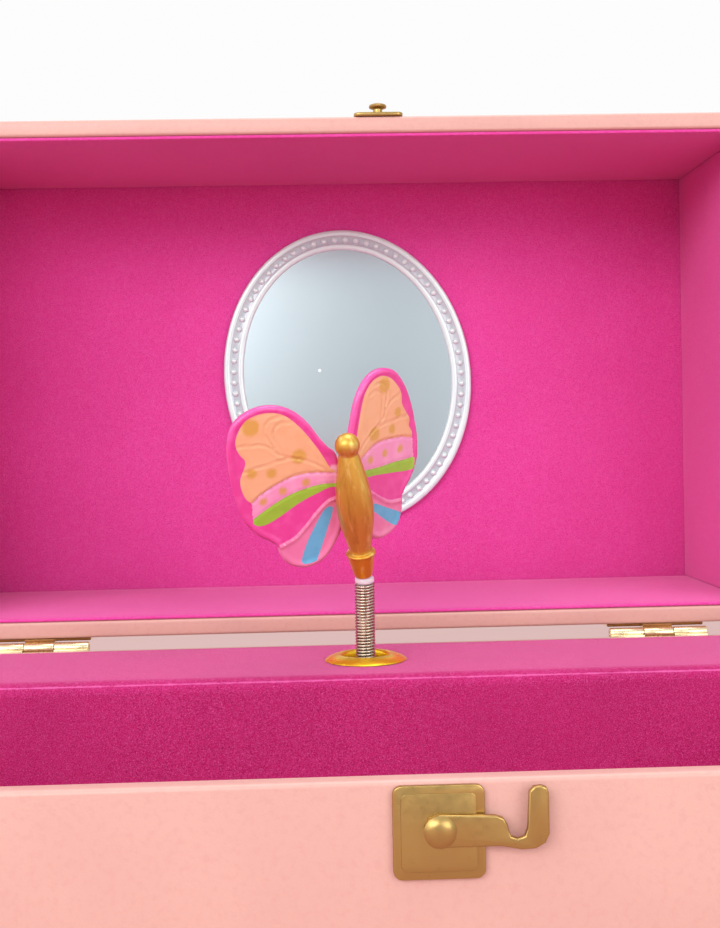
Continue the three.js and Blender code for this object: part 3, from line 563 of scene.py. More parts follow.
def cutter(part):
    """A tool for carved, which gives the cut faces its material."""
    return piece("cutter", *part, PAPER, None)


# ---- Case -------------------------------------------------------------------


def corners(lo, hi):
    return [(x, y, z) for x in (lo[0], hi[0]) for y in (lo[1], hi[1]) for z in (lo[2], hi[2])]


# Each side of a box, by its corners.
BOX_SIDES = {"-x": (0, 1, 3, 2), "+x": (4, 5, 7, 6), "-y": (0, 1, 5, 4), "+y": (2, 3, 7, 6),
             "-z": (0, 2, 6, 4), "+z": (1, 3, 7, 5)}


def open_shell(lo, hi, hollow_lo, hollow_hi, mouth):
    """A wrapped case: a box and its hollow, open on the mouth side. The hollow's inner corners stay sharp."""
    bm = bmesh.new()
    outer = [bm.verts.new(c) for c in corners(lo, hi)]
    inner = [bm.verts.new(c) for c in corners(hollow_lo, hollow_hi)]
    for side, quad in BOX_SIDES.items():
        if side != mouth:
            bm.faces.new([outer[i] for i in quad])
            bm.faces.new([inner[i] for i in quad])
    ring = BOX_SIDES[mouth]
    around = list(zip(ring, ring[1:] + ring[:1]))
    for a, b in around:
        bm.faces.new([outer[a], outer[b], inner[b], inner[a]])
    bmesh.ops.recalc_face_normals(bm, faces=bm.faces)
    hollow = set(inner)
    edges = [e for e in bm.edges if not hollow.intersection(e.verts)]
    edges += [bm.edges.get([inner[a], inner[b]]) for a, b in around]
    bmesh.ops.bevel(bm, geom=edges, offset=WRAP_ROUND, segments=4, profile=0.5, affect="EDGES")
    return from_bmesh(bm)


def base_case():
    walls = ("base_board", "front_wall", "back_wall", "left_wall", "right_wall")
    rim = high("front_wall").z
    lo = Vector((low("left_wall").x, low("front_wall").y, low("base_board").z))
    hi = Vector((high("right_wall").x, high("back_wall").y, rim))
    hollow_lo = Vector((high("left_wall").x, high("front_wall").y, high("base_board").z))
    hollow_hi = Vector((low("right_wall").x, low("back_wall").y, rim))
    shell = piece("base_case", *open_shell(lo, hi, hollow_lo, hollow_hi, "+z"), PAPER, "box", walls, "paper")
    arbor = mid("winding_arbor")
    hole = swept([(arbor.x, hi.y - 9 * MM, arbor.z), (arbor.x, hi.y + 2 * MM, arbor.z)], KEY_HOLE, 40)
    carved(shell, cutter(hole))


def lid_case():
    walls = ("lid_panel", "lid_back_wall", "lid_front_wall", "lid_left_wall", "lid_right_wall")
    lo = low("lid_back_wall")
    hi = Vector((high("lid_front_wall").x, high("lid_panel").y, high("lid_front_wall").z))
    hollow_lo = Vector((high("lid_left_wall").x, lo.y, high("lid_back_wall").z))
    hollow_hi = Vector((low("lid_right_wall").x, low("lid_panel").y, low("lid_front_wall").z))
    piece("lid_case", *open_shell(lo, hi, hollow_lo, hollow_hi, "-y"), PAPER, "lid", walls, "paper")


def felt_panel(node, body):
    """A felt lining: a card edge softened by the nap, and a slow unevenness over its face."""
    lo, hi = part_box(node)
    thin = min(range(3), key=lambda k: hi[k] - lo[k])
    corner_verts, corner_faces = soft_box(lo, hi, 0.3 * MM)
    bm = bmesh.new()
    verts = [bm.verts.new(v) for v in corner_verts]
    for face in corner_faces:
        bm.faces.new([verts[i] for i in face])
    long = [e for e in bm.edges if e.calc_length() > 20 * MM]
    bmesh.ops.subdivide_edges(bm, edges=long, cuts=11, use_grid_fill=True)
    for v in bm.verts:
        v.co[thin] += noise.noise(v.co / (28 * MM)) * 0.042 * MM
    piece(f"{node}_felt", *from_bmesh(bm), FELT, body, (node,), "felt")


def cover_section(lo, hi):
    """The cover's section in YZ: outside, inside, and how many outside points are on the front and bend."""
    front = [(lo.y, lo.z + t * (hi.z - FELT_BEND - lo.z)) for t in np.linspace(0, 1, 14)]
    bend = [(lo.y + FELT_BEND - FELT_BEND * math.cos(a), hi.z - FELT_BEND + FELT_BEND * math.sin(a))
            for a in np.linspace(0, math.pi / 2, 10)[1:]]
    top = [(lo.y + FELT_BEND + t * (hi.y - lo.y - FELT_BEND), hi.z) for t in np.linspace(0, 1, 12)[1:]]
    outer, inner = front + bend + top, []
    for i, (y, z) in enumerate(outer):
        a, b = outer[max(i - 1, 0)], outer[min(i + 1, len(outer) - 1)]
        d = Vector((b[0] - a[0], b[1] - a[1])).normalized()
        inner.append((y + d.y * FELT_THICK, z - d.x * FELT_THICK))
    return outer, inner[::-1], len(front + bend) - 1


def cover_wave(p, upright):
    """How far the felt's outside lifts off its card: hardly at all, and never above the flat top."""
    wave = noise.noise(p / (35 * MM)) * 0.16 * MM + noise.noise(p / (9 * MM)) * 0.05 * MM
    if upright:
        return Vector((0, -0.6, 0.5)) * min(wave, 0.02 * MM)
    return Vector((0, 0, min(wave, 0)))


def compartment_cover():
    """One sheet of felt, up the front and over the top, with a softly rounded bend."""
    lo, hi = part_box("compartment_felt")
    outer, inner, upright_count = cover_section(lo, hi)
    steps, count = 120, len(outer) + len(inner)
    verts = []
    for x in (lo.x + (hi.x - lo.x) * i / steps for i in range(steps + 1)):
        for k, (y, z) in enumerate(outer):
            p = Vector((x, y, z))
            verts.append(p + cover_wave(p, k < upright_count))
        verts += [Vector((x, y, z)) for y, z in inner]
    faces = skin(steps + 1, count, around=False) + ends(steps + 1, count)
    # The cover wears the pink felt in darker colours: painted shade.
    cover = piece("compartment_cover", verts, faces, CARD_FELT_SHADED, None, angle=50)
    hole = swept([SPIN + Vector((0, 0, 20 * MM)), SPIN + Vector((0, 0, 40 * MM))], SPRING_HOLE, 40)
    slot = soft_box((low("stop_wire").x - 0.1 * MM, mid("stop_wire").y - 4.5 * MM, hi.z - 2 * MM),
                    (high("stop_wire").x + 0.1 * MM, hi.y + 2 * MM, hi.z + 2 * MM), 0.2 * MM)
    carved(cover, cutter(hole), cutter(slot))
    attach(cover, "box")
    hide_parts("compartment_felt")


# ---- Mirror -----------------------------------------------------------------


# The moulding's section, as (in from the outer edge, out from the lining), in millimetres.
MOULDING = [(0, 0), (0, 1.2), (0.1, 1.58), (0.35, 1.8), (0.8, 1.92), (1.25, 1.92), (1.6, 1.82),
            (1.85, 1.66), (2.2, 1.58), (2.9, 1.54), (3.6, 1.58), (3.95, 1.68), (4.25, 1.82), (4.6, 1.92),
            (5.0, 1.9), (5.4, 1.76), (5.7, 1.5), (5.78, 1.25), (4.4, 1.25), (4.35, 0)]
BEAD = [(0.0, 0.8), (0.3, 0.76), (0.56, 0.63), (0.76, 0.42), (0.86, 0.18), (0.88, -0.1)]


def oval(fraction):
    """A point on the mirror's outer edge, and the direction inward from it."""
    t, a, b = 2 * math.pi * fraction, MIRROR_WIDTH / 2, MIRROR_HEIGHT / 2
    inward = -Vector((math.cos(t) / a, 0, math.sin(t) / b)).normalized()
    return Vector((a * math.cos(t), 0, b * math.sin(t))), inward


def moulding(depth):
    """The ring, swept round the oval, and which of the section's faces lie in the channel."""
    steps = 240
    verts = []
    for i in range(steps):
        p, inward = oval(i / steps)
        verts += [p + inward * u * MM - Vector((0, min(h * MM, depth), 0)) for u, h in MOULDING]
    # The channel's faces take the darker silver, painted shade in the recess.
    channel = [1.5 < u < 4.0 and h < 2 for u, h in MOULDING]
    return (verts, skin(steps, len(MOULDING))), [int(deep) for deep in channel] * steps


def beads():
    """Domes at an even pitch along the channel."""
    steps = 720
    path = [p + inward * BEAD_IN for p, inward in (oval(i / steps) for i in range(steps + 1))]
    lengths = np.cumsum([0.0] + [(b - a).length for a, b in zip(path, path[1:])])
    number = round(lengths[-1] / BEAD_PITCH)
    dome, stand = turned(in_mm(BEAD), 14), Matrix.Rotation(math.pi / 2, 4, "X")
    nearest = (min(int(np.searchsorted(lengths, lengths[-1] * n / number)), steps) for n in range(number))
    return [placed(dome, Matrix.Translation(path[i] - Vector((0, BEAD_UP, 0))) @ stand) for i in nearest]


def mirror():
    """A moulded oval ring: a raised rim outside and in, and a row of beads in the channel between them."""
    lo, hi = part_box("mirror_frame")
    ring, painted_shade_index = moulding(hi.y - lo.y)
    verts, faces = merged(ring, *beads())
    painted_shade_index += [0] * (len(faces) - len(painted_shade_index))
    centre = Vector((mid("mirror_frame").x, hi.y, mid("mirror_frame").z))
    place = Matrix.Translation(centre) @ Matrix.Rotation(-MIRROR_TILT, 4, "Y")
    piece("mirror_moulding", verts, faces, [SILVER, SILVER_GROOVE_SHADE], "lid", ("mirror_frame",), "silver", painted_shade_index,
          place)
    show("mirror_glass", MIRROR)


def show(node, material):
    """A CAD node that keeps its shape."""
    mesh = NODES[node].data
    mesh.materials.clear()
    mesh.materials.append(material)


# ---- Hinges and clasp -------------------------------------------------------


def along_x(part, x0):
    """Turns a part built up Z so that it runs along X from x0, on the hinge axis."""
    return placed(part, Matrix.Translation((x0, HINGE.y, HINGE.z)) @ Matrix.Rotation(math.pi / 2, 4, "Y"))


def knuckle(x0, x1):
    """One part of a hinge's barrel."""
    length = x1 - x0
    c, r = KNUCKLE_ROUND, KNUCKLE_RADIUS
    profile = [(KNUCKLE_BORE, 0), (r - c, 0), (r - c * 0.3, c * 0.3), (r, c), (r, length - c),
               (r - c * 0.3, length - c * 0.3), (r - c, length), (KNUCKLE_BORE, length)]
    return along_x(turned(profile, 36, closed=True), x0)


def nail(x, y, z, axis):
    """A nail's domed head, facing along axis."""
    dome = turned(in_mm([(0.0, 0.42), (0.45, 0.36), (0.8, 0.2), (0.95, -0.05)]), 20)
    turn = Matrix.Rotation(-math.pi / 2, 4, "X") if axis == "+y" else Matrix.Rotation(math.pi, 4, "X")
    return placed(dome, Matrix.Translation((x, y, z)) @ turn)


def base_leaf(side):
    """The leaf nailed to the back wall, with the two outer knuckles and the necks that carry them."""
    node = f"{side}_hinge_base_leaf"
    lo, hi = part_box(node)
    middle, back = (lo.x + hi.x) / 2, lo.y
    parts = [soft_box((lo.x, back, lo.z), (hi.x, back + HINGE_SHEET, lo.z + 11 * MM), 0.2 * MM)]
    clear = KNUCKLE_HALF + KNUCKLE_GAP
    for a, b in ((lo.x, middle - clear), (middle + clear, hi.x)):
        parts.append(soft_box((a, back, lo.z + 9 * MM), (b, back + HINGE_SHEET, HINGE.z - 0.2 * MM),
                              0.15 * MM))
        parts.append(knuckle(a, b))
        parts.append(soft_box((a + 0.05 * MM, back + 0.1 * MM, HINGE.z - 1.2 * MM),
                              (b - 0.05 * MM, HINGE.y - 0.9 * MM, HINGE.z - 0.3 * MM), 0.1 * MM))
    parts += [nail(middle + x, back + HINGE_SHEET, lo.z + NAIL_IN, "+y") for x in (-NAIL_OUT, NAIL_OUT)]
    piece(f"{side}_hinge_on_base", *merged(*parts), BRASS, "box", (node,), "hinge_brass")


def lid_leaf(side):
    """The leaf under the lid's wall, with the middle knuckle. Its front edge is painted dark brown as shade.
    """
    node = f"{side}_hinge_lid_leaf"
    lo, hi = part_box(node)
    middle, start = (lo.x + hi.x) / 2, low("lid_back_wall").y + LID_LEAF_SETBACK
    parts = [soft_box((lo.x, start, hi.z - HINGE_SHEET), hi, 0.2 * MM),
             soft_box((middle - KNUCKLE_HALF, HINGE.y + 0.3 * MM, HINGE.z + 1 * MM),
                      (middle + KNUCKLE_HALF, start + 1 * MM, hi.z), 0.12 * MM)]
    sheets = sum(len(faces) for _, faces in parts)
    parts.append(knuckle(middle - KNUCKLE_HALF, middle + KNUCKLE_HALF))
    parts += [nail(middle + x, hi.y - NAIL_IN, hi.z - HINGE_SHEET, "-z") for x in (-NAIL_OUT, NAIL_OUT)]
    verts, faces = merged(*parts)
    # The sheets' faces along the front edge take the dark brass, painted shade.
    edge = start + 0.22 * MM
    painted_shade_index = [int(i < sheets and max(verts[v].y for v in face) < edge) for i, face in enumerate(faces)]
    piece(f"{side}_hinge_on_lid", verts, faces, [BRASS, LEAF_BRASS_SHADE], "lid", (node,), "hinge_brass", painted_shade_index)


def hinge(side):
    base_leaf(side)
    lid_leaf(side)
    show(f"{side}_hinge_pin", BRASS)


def upright(part, centre):
    """Stands an XY part up in XZ, its thickness running forward from the centre."""
    return placed(part, Matrix.Translation(centre) @ Matrix.Rotation(math.pi / 2, 4, "X"))


def plate_outline(half, low_edge, high_edge, r=1.4):
    """A rectangle with round corners, given in millimetres."""
    arcs = ((half - r, low_edge + r, -90), (half - r, high_edge - r, 0), (r - half, high_edge - r, 90),
            (r - half, low_edge + r, 180))
    turns = [(cx, cy, math.radians(start + s)) for cx, cy, start in arcs for s in range(0, 91, 15)]
    return in_mm([(cx + r * math.cos(a), cy + r * math.sin(a)) for cx, cy, a in turns])


def hook_outline(k):
    """The hook: an arm from the pivot to a claw with its notch centred k millimetres out."""
    return [(0, -2.4), (k - 2.5, -2.4), (k + 0.5, -3), (k + 2.6, -2.9), (k + 4, -2.1), (k + 4.6, -0.8),
            (k + 4.6, 5.2), (k + 4.3, 6), (k + 3.5, 6.3), (k + 2.4, 6.2), (k + 1.7, 5.4), (k + 1.4, 0.2),
            (k + 1.0, -1), (k, -1.4), (k - 1.0, -1), (k - 1.4, 0), (k - 1.5, 0.7), (k - 2.1, 1.7),
            (k - 3.2, 2.1), (0, 2.4), (-1.6, 1.8), (-2.3, 0.6), (-2.3, -0.6), (-1.6, -1.8)]


def clasp():
    pivot = joint_place("clasp_swing")
    face = high("clasp_base_plate").y
    plate = slab(plate_outline(6.8, -7.5, 6.4), 0.9 * MM, 0.25 * MM)
    ridge = slab(plate_outline(5.6, -6.3, 5.2, 1.0), 0.12 * MM, 0.08 * MM)
    rivet = turned(in_mm([(0, 3.4), (1.2, 3.3), (2.0, 2.95), (2.4, 2.6), (2.3, 2.32), (1.3, 2.3), (1.3, 0)]),
                   32)
    parts = [upright(plate, (pivot.x, face, pivot.z)), upright(ridge, (pivot.x, face - 0.85 * MM, pivot.z)),
             upright(rivet, (pivot.x, face, pivot.z))]
    piece("clasp_plate", *merged(*parts), AGED_BRASS, "box", ("clasp_base_plate",), "hinge_brass")

    hook = slab(in_mm(hook_outline(11.4)), 1.2 * MM, 0.28 * MM, 3)
    piece("clasp_swinging_hook", *upright(hook, (pivot.x, high("clasp_hook").y, pivot.z)), AGED_BRASS,
          "clasp_hook", ("clasp_hook",), "hinge_brass")

    lo = low("clasp_lid_plate")
    knob = turned(in_mm([(1.15, 0), (1.15, 2.2), (1.4, 2.45), (2.1, 2.65), (2.2, 2.95), (2.05, 3.3),
                         (1.3, 3.6), (0, 3.7)]), 32)
    parts = merged(slab(plate_outline(6, -3.6, 4.6), 0.9 * MM, 0.25 * MM), knob)
    place = Matrix.Translation((pivot.x, lo.y + 3.6 * MM, lo.z))
    piece("clasp_lid_knob", *placed(parts, place), AGED_BRASS, "lid", ("clasp_lid_plate",), "hinge_brass")


# ---- Eyelet, key, spring ----------------------------------------------------


def eyelet():
    """A rolled gilt eyelet: thin at its outer edge, domed, and turned down into the hole."""
    top = flowing([(9.2, 0.12), (8.9, 0.42), (8.0, 0.92), (7.0, 1.3), (6.2, 1.47), (5.6, 1.35), (5.25, 0.95),
                   (5.15, 0.2)], 5)
    under = [(5.15, -4.5), (6.0, -4.5), (6.0, 0.06), (9.1, 0.06)]
    ring = turned(in_mm([(r, z) for r, z in top] + under), 96, closed=True)
    place = Matrix.Translation((SPIN.x, SPIN.y, low("grommet").z + EYELET_RISE))
    piece("gilt_eyelet", *placed(ring, place), GILT, "box", ("grommet",), "gilt", angle=40)


def key():
    """A steel winding key: a hub with two flat loops."""
    centre = Vector((mid("winding_key").x, low("winding_key").y, mid("winding_key").z))
    hub = turned(in_mm([(1.6, 0), (2.45, 0), (2.7, 0.25), (2.7, 9.6), (2.4, 10.1), (1.4, 10.4), (0, 10.45)]),
                 40)
    parts = [placed(hub, Matrix.Rotation(-math.pi / 2, 4, "X"))]
    bow = KEY_BOW_Y - centre.y
    wire = in_mm([(1.25 * math.sin(t), 0.62 * math.cos(t)) for t in np.linspace(0, 2 * math.pi, 13)[:-1]])
    for side in (-1, 1):
        loop = [Vector((side * (7.3 + 4.5 * math.cos(t)) * MM, bow + 4.0 * math.sin(t) * MM, 0))
                for t in np.linspace(0, 2 * math.pi, 49)[:-1]]
        parts.append(swept(loop, 0, closed=True, section=wire))
    parts.append(soft_box((-3 * MM, bow - 2.1 * MM, -0.65 * MM), (3 * MM, bow + 2.1 * MM, 0.65 * MM),
                          0.3 * MM))
    piece("winding_key_steel", *placed(merged(*parts), Matrix.Translation(centre)), STEEL, "winding",
          ("winding_key",), "steel")


def bent(x, y, s):
    """A point of the straight coil, carried onto its forward bend."""
    radius = COIL_LENGTH / COIL_LEAN
    a = s / radius
    return COIL_FOOT + Vector((x, (y + radius) * math.cos(a) - radius, (y + radius) * math.sin(a)))


def coil():
    """The figure's spring, wound close, bending from its foot to the figure."""
    steps, rise, path = COIL_TURNS * 36, COIL_LENGTH - 2 * WIRE_RADIUS, []
    for i in range(steps + 1):
        a = 2 * math.pi * COIL_TURNS * i / steps
        path.append(bent(COIL_RADIUS * math.cos(a), COIL_RADIUS * math.sin(a), WIRE_RADIUS + rise * i / steps))
    spring = piece("coil_wire", *swept(path, WIRE_RADIUS, 8), STEEL, None, slot="steel", angle=80)
    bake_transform(spring)
    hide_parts("coil_spring")


# ---- Butterfly --------------------------------------------------------------

# Turned parts of the figure, as (radius, height) in millimetres.
PLUG_PROFILE = [(0, -2), (1.1, -2), (1.15, -0.2), (2.0, 0.1), (2.15, 0.35), (2.1, 1.0), (1.85, 1.35),
                (1.3, 1.6), (0, 1.7)]
COLLAR_PROFILE = [(1.9, -4.0), (2.0, -3.85), (2.2, -3.0), (2.6, -1.2), (2.95, 0.6), (3.02, 1.05),
                  (3.2, 1.25), (3.28, 1.5), (3.22, 1.75), (3.0, 1.9), (2.62, 1.95), (2.4, 2.1),
                  (2.42, 2.6)]
BELLY_PROFILE = [(2.42, 2.6), (2.85, 4.6), (3.45, 7.5), (3.88, 10.2), (4.04, 12.6), (3.93, 15.4),
                 (3.5, 18.8), (2.9, 22.0), (2.42, 24.2), (2.12, 25.3)]
HEAD_RADIUS, HEAD_HEIGHT, NECK_ANGLE = 2.68, 27.4, -0.66

# Painted shapes on a wing, as (out from the body's axis, up it) in millimetres. Each is painted by hand.
LEFT_WING = {
    "edge": [(1.2, 24), (3.0, 26.9), (4.7, 29.7), (6.3, 32.8), (8.3, 35.5), (10.7, 37.5), (13.5, 38.7),
             (16.7, 39.0), (19.9, 38.2), (22.7, 36.2), (24.2, 32.9), (24.8, 29), (24.8, 24), (24.2, 18),
             (23.2, 13.8), (20.6, 10), (18.3, 8.1), (17.1, 6.6), (16.9, 5.2), (16.0, 2.9), (14.2, 1),
             (11, -0.1), (7.4, 0.8), (4.4, 3.8), (2, 8), (1.1, 14)],
    "peach": [(3.1, 22), (4.9, 26.4), (7.4, 31.1), (9.9, 34.7), (12.1, 36.6), (14.6, 37.5), (17.2, 37.6),
              (19.6, 36.9), (21.3, 35.1), (22.4, 33), (22.5, 31), (21.9, 29.4), (21.2, 28.3), (21.2, 27.1),
              (22, 25.6), (22.8, 23.8), (22.8, 21.6), (22.2, 19.4), (21.3, 18.3)],
    "band top": [(1.6, 20.6), (3.4, 21), (5.4, 21.5), (7.7, 21.95), (10.5, 22.05), (12.6, 21.8),
                 (15.6, 20.9), (18.9, 19.5), (21.2, 17.9)],
    "band low": [(1.6, 18), (3.2, 18.4), (5.6, 18.75), (8.5, 18.65), (11.8, 18.2), (15.4, 17.1),
                 (19, 15.5), (21.4, 14.2)],
    "green low": [(2.6, 17.5), (4.1, 17.6), (6.4, 17.0), (9.1, 16.3), (11.8, 15.3), (15.4, 13.6),
                  (18.4, 12.5), (20.4, 12.5), (21.3, 13.2)],
    "blue": [(3.7, 12.9), (5.2, 13), (6.9, 11.2), (8.5, 8.9), (10.2, 6.3), (11.7, 3.3), (12.2, 1.5),
             (11.2, 0.95), (9.2, 1.1), (8.4, 2), (6.8, 5.2), (5.4, 8.3), (4.2, 10.9)],
    "peach dots": [(18.9, 35.1, 1.75), (9.6, 26.4, 1.5), (20.2, 24.9, 0.95), (16.0, 24.0, 0.95)],
    "band dots": [(18.6, 17.9, 0.75), (14.1, 19.3, 0.78), (8.8, 20.1, 0.78)],
}
RIGHT_WING = {
    "edge": [(1.2, 24), (2.6, 27), (4.1, 30.2), (5.6, 33.4), (7.6, 36.2), (10.3, 38.2), (13.4, 39.0),
             (16.6, 38.5), (19.5, 36.9), (21.7, 34), (23.3, 30), (24.3, 25), (24.7, 20), (24.3, 15.6),
             (22.9, 12.4), (20.6, 9.9), (18.3, 8.1), (17.3, 6.6), (17.1, 4.8), (16.1, 2.4), (14.2, 0.6),
             (11, -0.1), (7.4, 0.6), (4.4, 3.6), (2, 8), (1.1, 14)],
    "peach": [(3.1, 22), (5.0, 26.6), (6.9, 31.2), (8.9, 34.9), (11.5, 37), (14.6, 37.4), (17.6, 36),
              (19.8, 33.4), (20.8, 31), (20.7, 28.6), (21.7, 26.4), (22.6, 24.4), (22.2, 22.8),
              (22.9, 21.2), (22.9, 19.6)],
    "band top": [(1.6, 20.4), (3.6, 20.5), (5.6, 21), (7.8, 21.8), (10.6, 22.7), (13.5, 22.5),
                 (16.6, 21.8), (19.6, 21), (22.8, 19.6)],
    "band low": [(1.6, 17.6), (4, 18), (6.6, 17.9), (9.5, 17.3), (12.6, 16.7), (16, 16.2), (19.6, 15.4),
                 (22.6, 14.9)],
    "green low": [(2.6, 17), (4.6, 16.8), (7, 16.2), (9.3, 15.7), (12.3, 14.8), (15.4, 13.9), (18.6, 12.9),
                  (21.2, 12.3), (22.4, 12.8)],
    "blue": [(4.6, 10), (7.8, 9.4), (11.6, 6.8), (16, 3.6), (16, 2.2), (14.2, 1.2), (12.4, 2.4),
             (10.4, 4.4), (7.6, 7.4), (5.4, 8.6)],
    "peach dots": [(15.4, 35.0, 1.65), (18.9, 27.3, 0.95), (16.3, 24.2, 0.95), (10.5, 25.2, 1.5)],
    "band dots": [(8.4, 19.8, 0.75), (13.2, 19.5, 0.8), (18.4, 18.6, 0.8)],
}
HIND_TOP = [(1.4, 15.2), (3.4, 15.2), (5.2, 14.5), (7.6, 12.7), (9.9, 10.5), (12.7, 8.2), (15, 7.3),
            (16.6, 7)]
VEINS = [
    [(22.3, 31.4), (19.8, 31.2), (17.5, 30.8), (15.8, 30), (14.7, 28.7), (13.3, 27.4), (11.4, 26.6),
     (8.8, 25.4), (6.4, 23.9), (3.6, 21.6)],
    [(22.2, 25.4), (19.2, 25.9), (16.4, 26.1), (13.8, 26.3), (11, 26.2), (9.2, 25.7)],
    [(12.4, 36.2), (14.6, 35.9), (15.9, 34.7), (16.1, 33), (15.5, 31.4), (14.6, 29.2)],
    [(10.3, 34.4), (12.6, 34.6), (14, 33.6), (14.3, 31.8), (13.8, 29.8), (13, 27.8)],
]


def distance(points, line, closed=False):
    """Distance from each point to a line through a list of points."""
    a = np.array(line, float)
    b = np.roll(a, -1, 0) if closed else a[1:]
    a = a if closed else a[:-1]
    d = b - a
    rel = points[:, None, :] - a[None]
    t = np.clip((rel * d).sum(2) / np.maximum((d * d).sum(1), 1e-12), 0, 1)
    return np.sqrt(((rel - t[..., None] * d) ** 2).sum(2)).min(1)


def inside(points, loop):
    """Which points a closed outline holds."""
    x, y = points[:, 0], points[:, 1]
    result = np.zeros(len(points), bool)
    for (x0, y0), (x1, y1) in zip(loop, loop[1:] + loop[:1]):
        crosses = (y0 > y) != (y1 > y)
        if y0 != y1:
            result ^= crosses & (x < (x1 - x0) * (y - y0) / (y1 - y0) + x0)
    return result


def step(value, start, end):
    """0 below start, 1 above end, smooth between."""
    t = np.clip((value - start) / (end - start), 0, 1)
    return t * t * (3 - 2 * t)


def wing_lines(marks):
    """The wing's outline and its painted lines, drawn smooth."""
    return {
        "edge": rounded(marks["edge"], 5),
        "top": flowing(marks["band top"], 5),
        "low": flowing(marks["band low"], 5),
        "peach": flowing(marks["peach"], 4),
        "green": flowing(marks["green low"], 5),
        "hind": flowing(HIND_TOP, 5),
        "blue": rounded(marks["blue"], 4),
    }


def wing_loops(lines):
    """Each colour's outline, in the order of the wing's paints. What no loop holds is the ground colour."""
    return (
        lines["peach"] + lines["top"][::-1],
        lines["top"] + lines["low"][::-1],
        lines["low"] + lines["green"][::-1],
        lines["hind"] + [(17.2, 6), (17, 2), (11, -1), (2, -1), (1, 8)],
        lines["blue"],
    )


def wing_mesh(lines):
    """A fine triangulation of the wing, with an edge along every painted line: points and triangles."""
    points, edges = [], []
    for name, line in lines.items():
        first, count = len(points), len(line)
        points += [Vector(p) for p in line]
        closed = name in ("edge", "blue")
        edges += [(first + i, first + (i + 1) % count) for i in range(count if closed else count - 1)]
    grid = np.array([(x, y) for y in np.arange(-0.5, 40, 0.42) for x in np.arange(0.8, 25.2, 0.42)])
    grid[:, 0] += 0.13 * np.sin(grid[:, 1] * 9.1)
    keep = inside(grid, lines["edge"]) & (distance(grid, lines["edge"], True) > 0.25)
    for name in ("top", "low", "peach", "green", "hind", "blue"):
        keep &= distance(grid, lines[name]) > 0.2
    points += [Vector(p) for p in grid[keep]]
    flat, _, faces, *_ = delaunay_2d_cdt(points, edges, [], 0, 1e-5)
    flat = np.array([tuple(p) for p in flat])
    triangles = np.array([tuple(f) for f in faces if len(f) == 3])
    return flat, triangles[inside(flat[triangles].mean(1), lines["edge"])]


def wing_relief(flat, lines, peach_loop):
    """Height of the front at each point: a raised rim and field, sunk veins, a ridge on the hind wing."""
    rim = distance(flat, lines["edge"], True)
    relief = 0.28 * (1 - step(rim, 0.9, 1.7)) - 0.5 * (1 - step(rim, 0.0, 0.6)) ** 2
    in_peach = inside(flat, peach_loop)
    relief += 0.14 * in_peach * step(distance(flat, peach_loop, True), 0.05, 0.5)
    for vein in VEINS:
        d = distance(flat, flowing(vein, 4))
        relief += in_peach * (-0.24 * np.exp(-((d / 0.2) ** 2)) + 0.08 * np.exp(-(((d - 0.45) / 0.25) ** 2)))
    for name, deep in (("top", 0.26), ("low", 0.16)):
        relief -= deep * np.exp(-((distance(flat, lines[name]) / 0.2) ** 2))
    ridge = distance(flat, [(x - 0.15, y - 0.45) for x, y in lines["hind"]])
    relief += 0.42 * np.exp(-((ridge / 0.42) ** 2))
    relief -= 0.2 * np.exp(-((distance(flat, lines["hind"]) / 0.18) ** 2))
    return relief, step(rim, 0.0, 1.3)


def open_edges(triangles):
    """Edges that only one triangle has."""
    seen = {}
    for a, b, c in triangles.tolist():
        for edge in ((a, b), (b, c), (c, a)):
            pair = tuple(sorted(edge))
            seen[pair] = seen.get(pair, 0) + 1
    return [edge for edge, uses in seen.items() if uses == 1]


def wing_paints(side, marks, sign):
    """The ground colour, then a paint for each loop."""
    return [
        # The pale spot on the pink ground at the wing's root, beside the body, is a painted highlight.
        enamel(f"{side}_wing_pink_root_highlight", (234, 74, 158), (244, 106, 182), [(2.4, 21.6, 1.0)], sign,
               (252, 196, 220)),
        enamel(f"{side}_wing_peach", (244, 186, 140), (239, 172, 124), marks["peach dots"], sign),
        enamel(f"{side}_wing_band", (243, 156, 196), (250, 182, 212), marks["band dots"], sign),
        enamel(f"{side}_wing_green", (158, 200, 62), (138, 184, 52)),
        enamel(f"{side}_wing_rose", (240, 132, 178), (246, 158, 192)),
        enamel(f"{side}_wing_blue", (104, 190, 226), (84, 172, 216)),
    ]


def wing(side, marks):
    """One wing: its painted face in front, the same face set back, and a wall between their borders."""
    lines, sign = wing_lines(marks), -1 if side == "left" else 1
    loops = wing_loops(lines)
    flat, triangles = wing_mesh(lines)
    relief, rim = wing_relief(flat, lines, loops[0])
    region = np.zeros(len(triangles), int)
    for index, loop in enumerate(loops, 1):
        region[inside(flat[triangles].mean(1), loop)] = index
    front = [(sign * x * MM, -h * MM, z * MM) for (x, z), h in zip(flat, relief)]
    back = [(sign * x * MM, (1.0 + 0.6 * r + 0.3 * h) * MM, z * MM)
            for (x, z), h, r in zip(flat, relief, rim)]
    count, border = len(flat), open_edges(triangles)
    faces = [tuple(t) for t in triangles.tolist()] + [tuple(t) for t in (triangles + count).tolist()]
    faces += [(a, b, b + count, a + count) for a, b in border]
    indices = region.tolist() * 2 + [0] * len(border)
    place = FIGURE @ Matrix.Translation((0, WING_BACK, 0)) @ Matrix.Rotation(sign * WING_SWEEP, 4, "Z")
    piece(f"{side}_painted_wing", front + back, faces, wing_paints(side, marks, sign), "butterfly",
          (f"{side}_wing",), "wing_paint", indices=indices, matrix=place, angle=75)


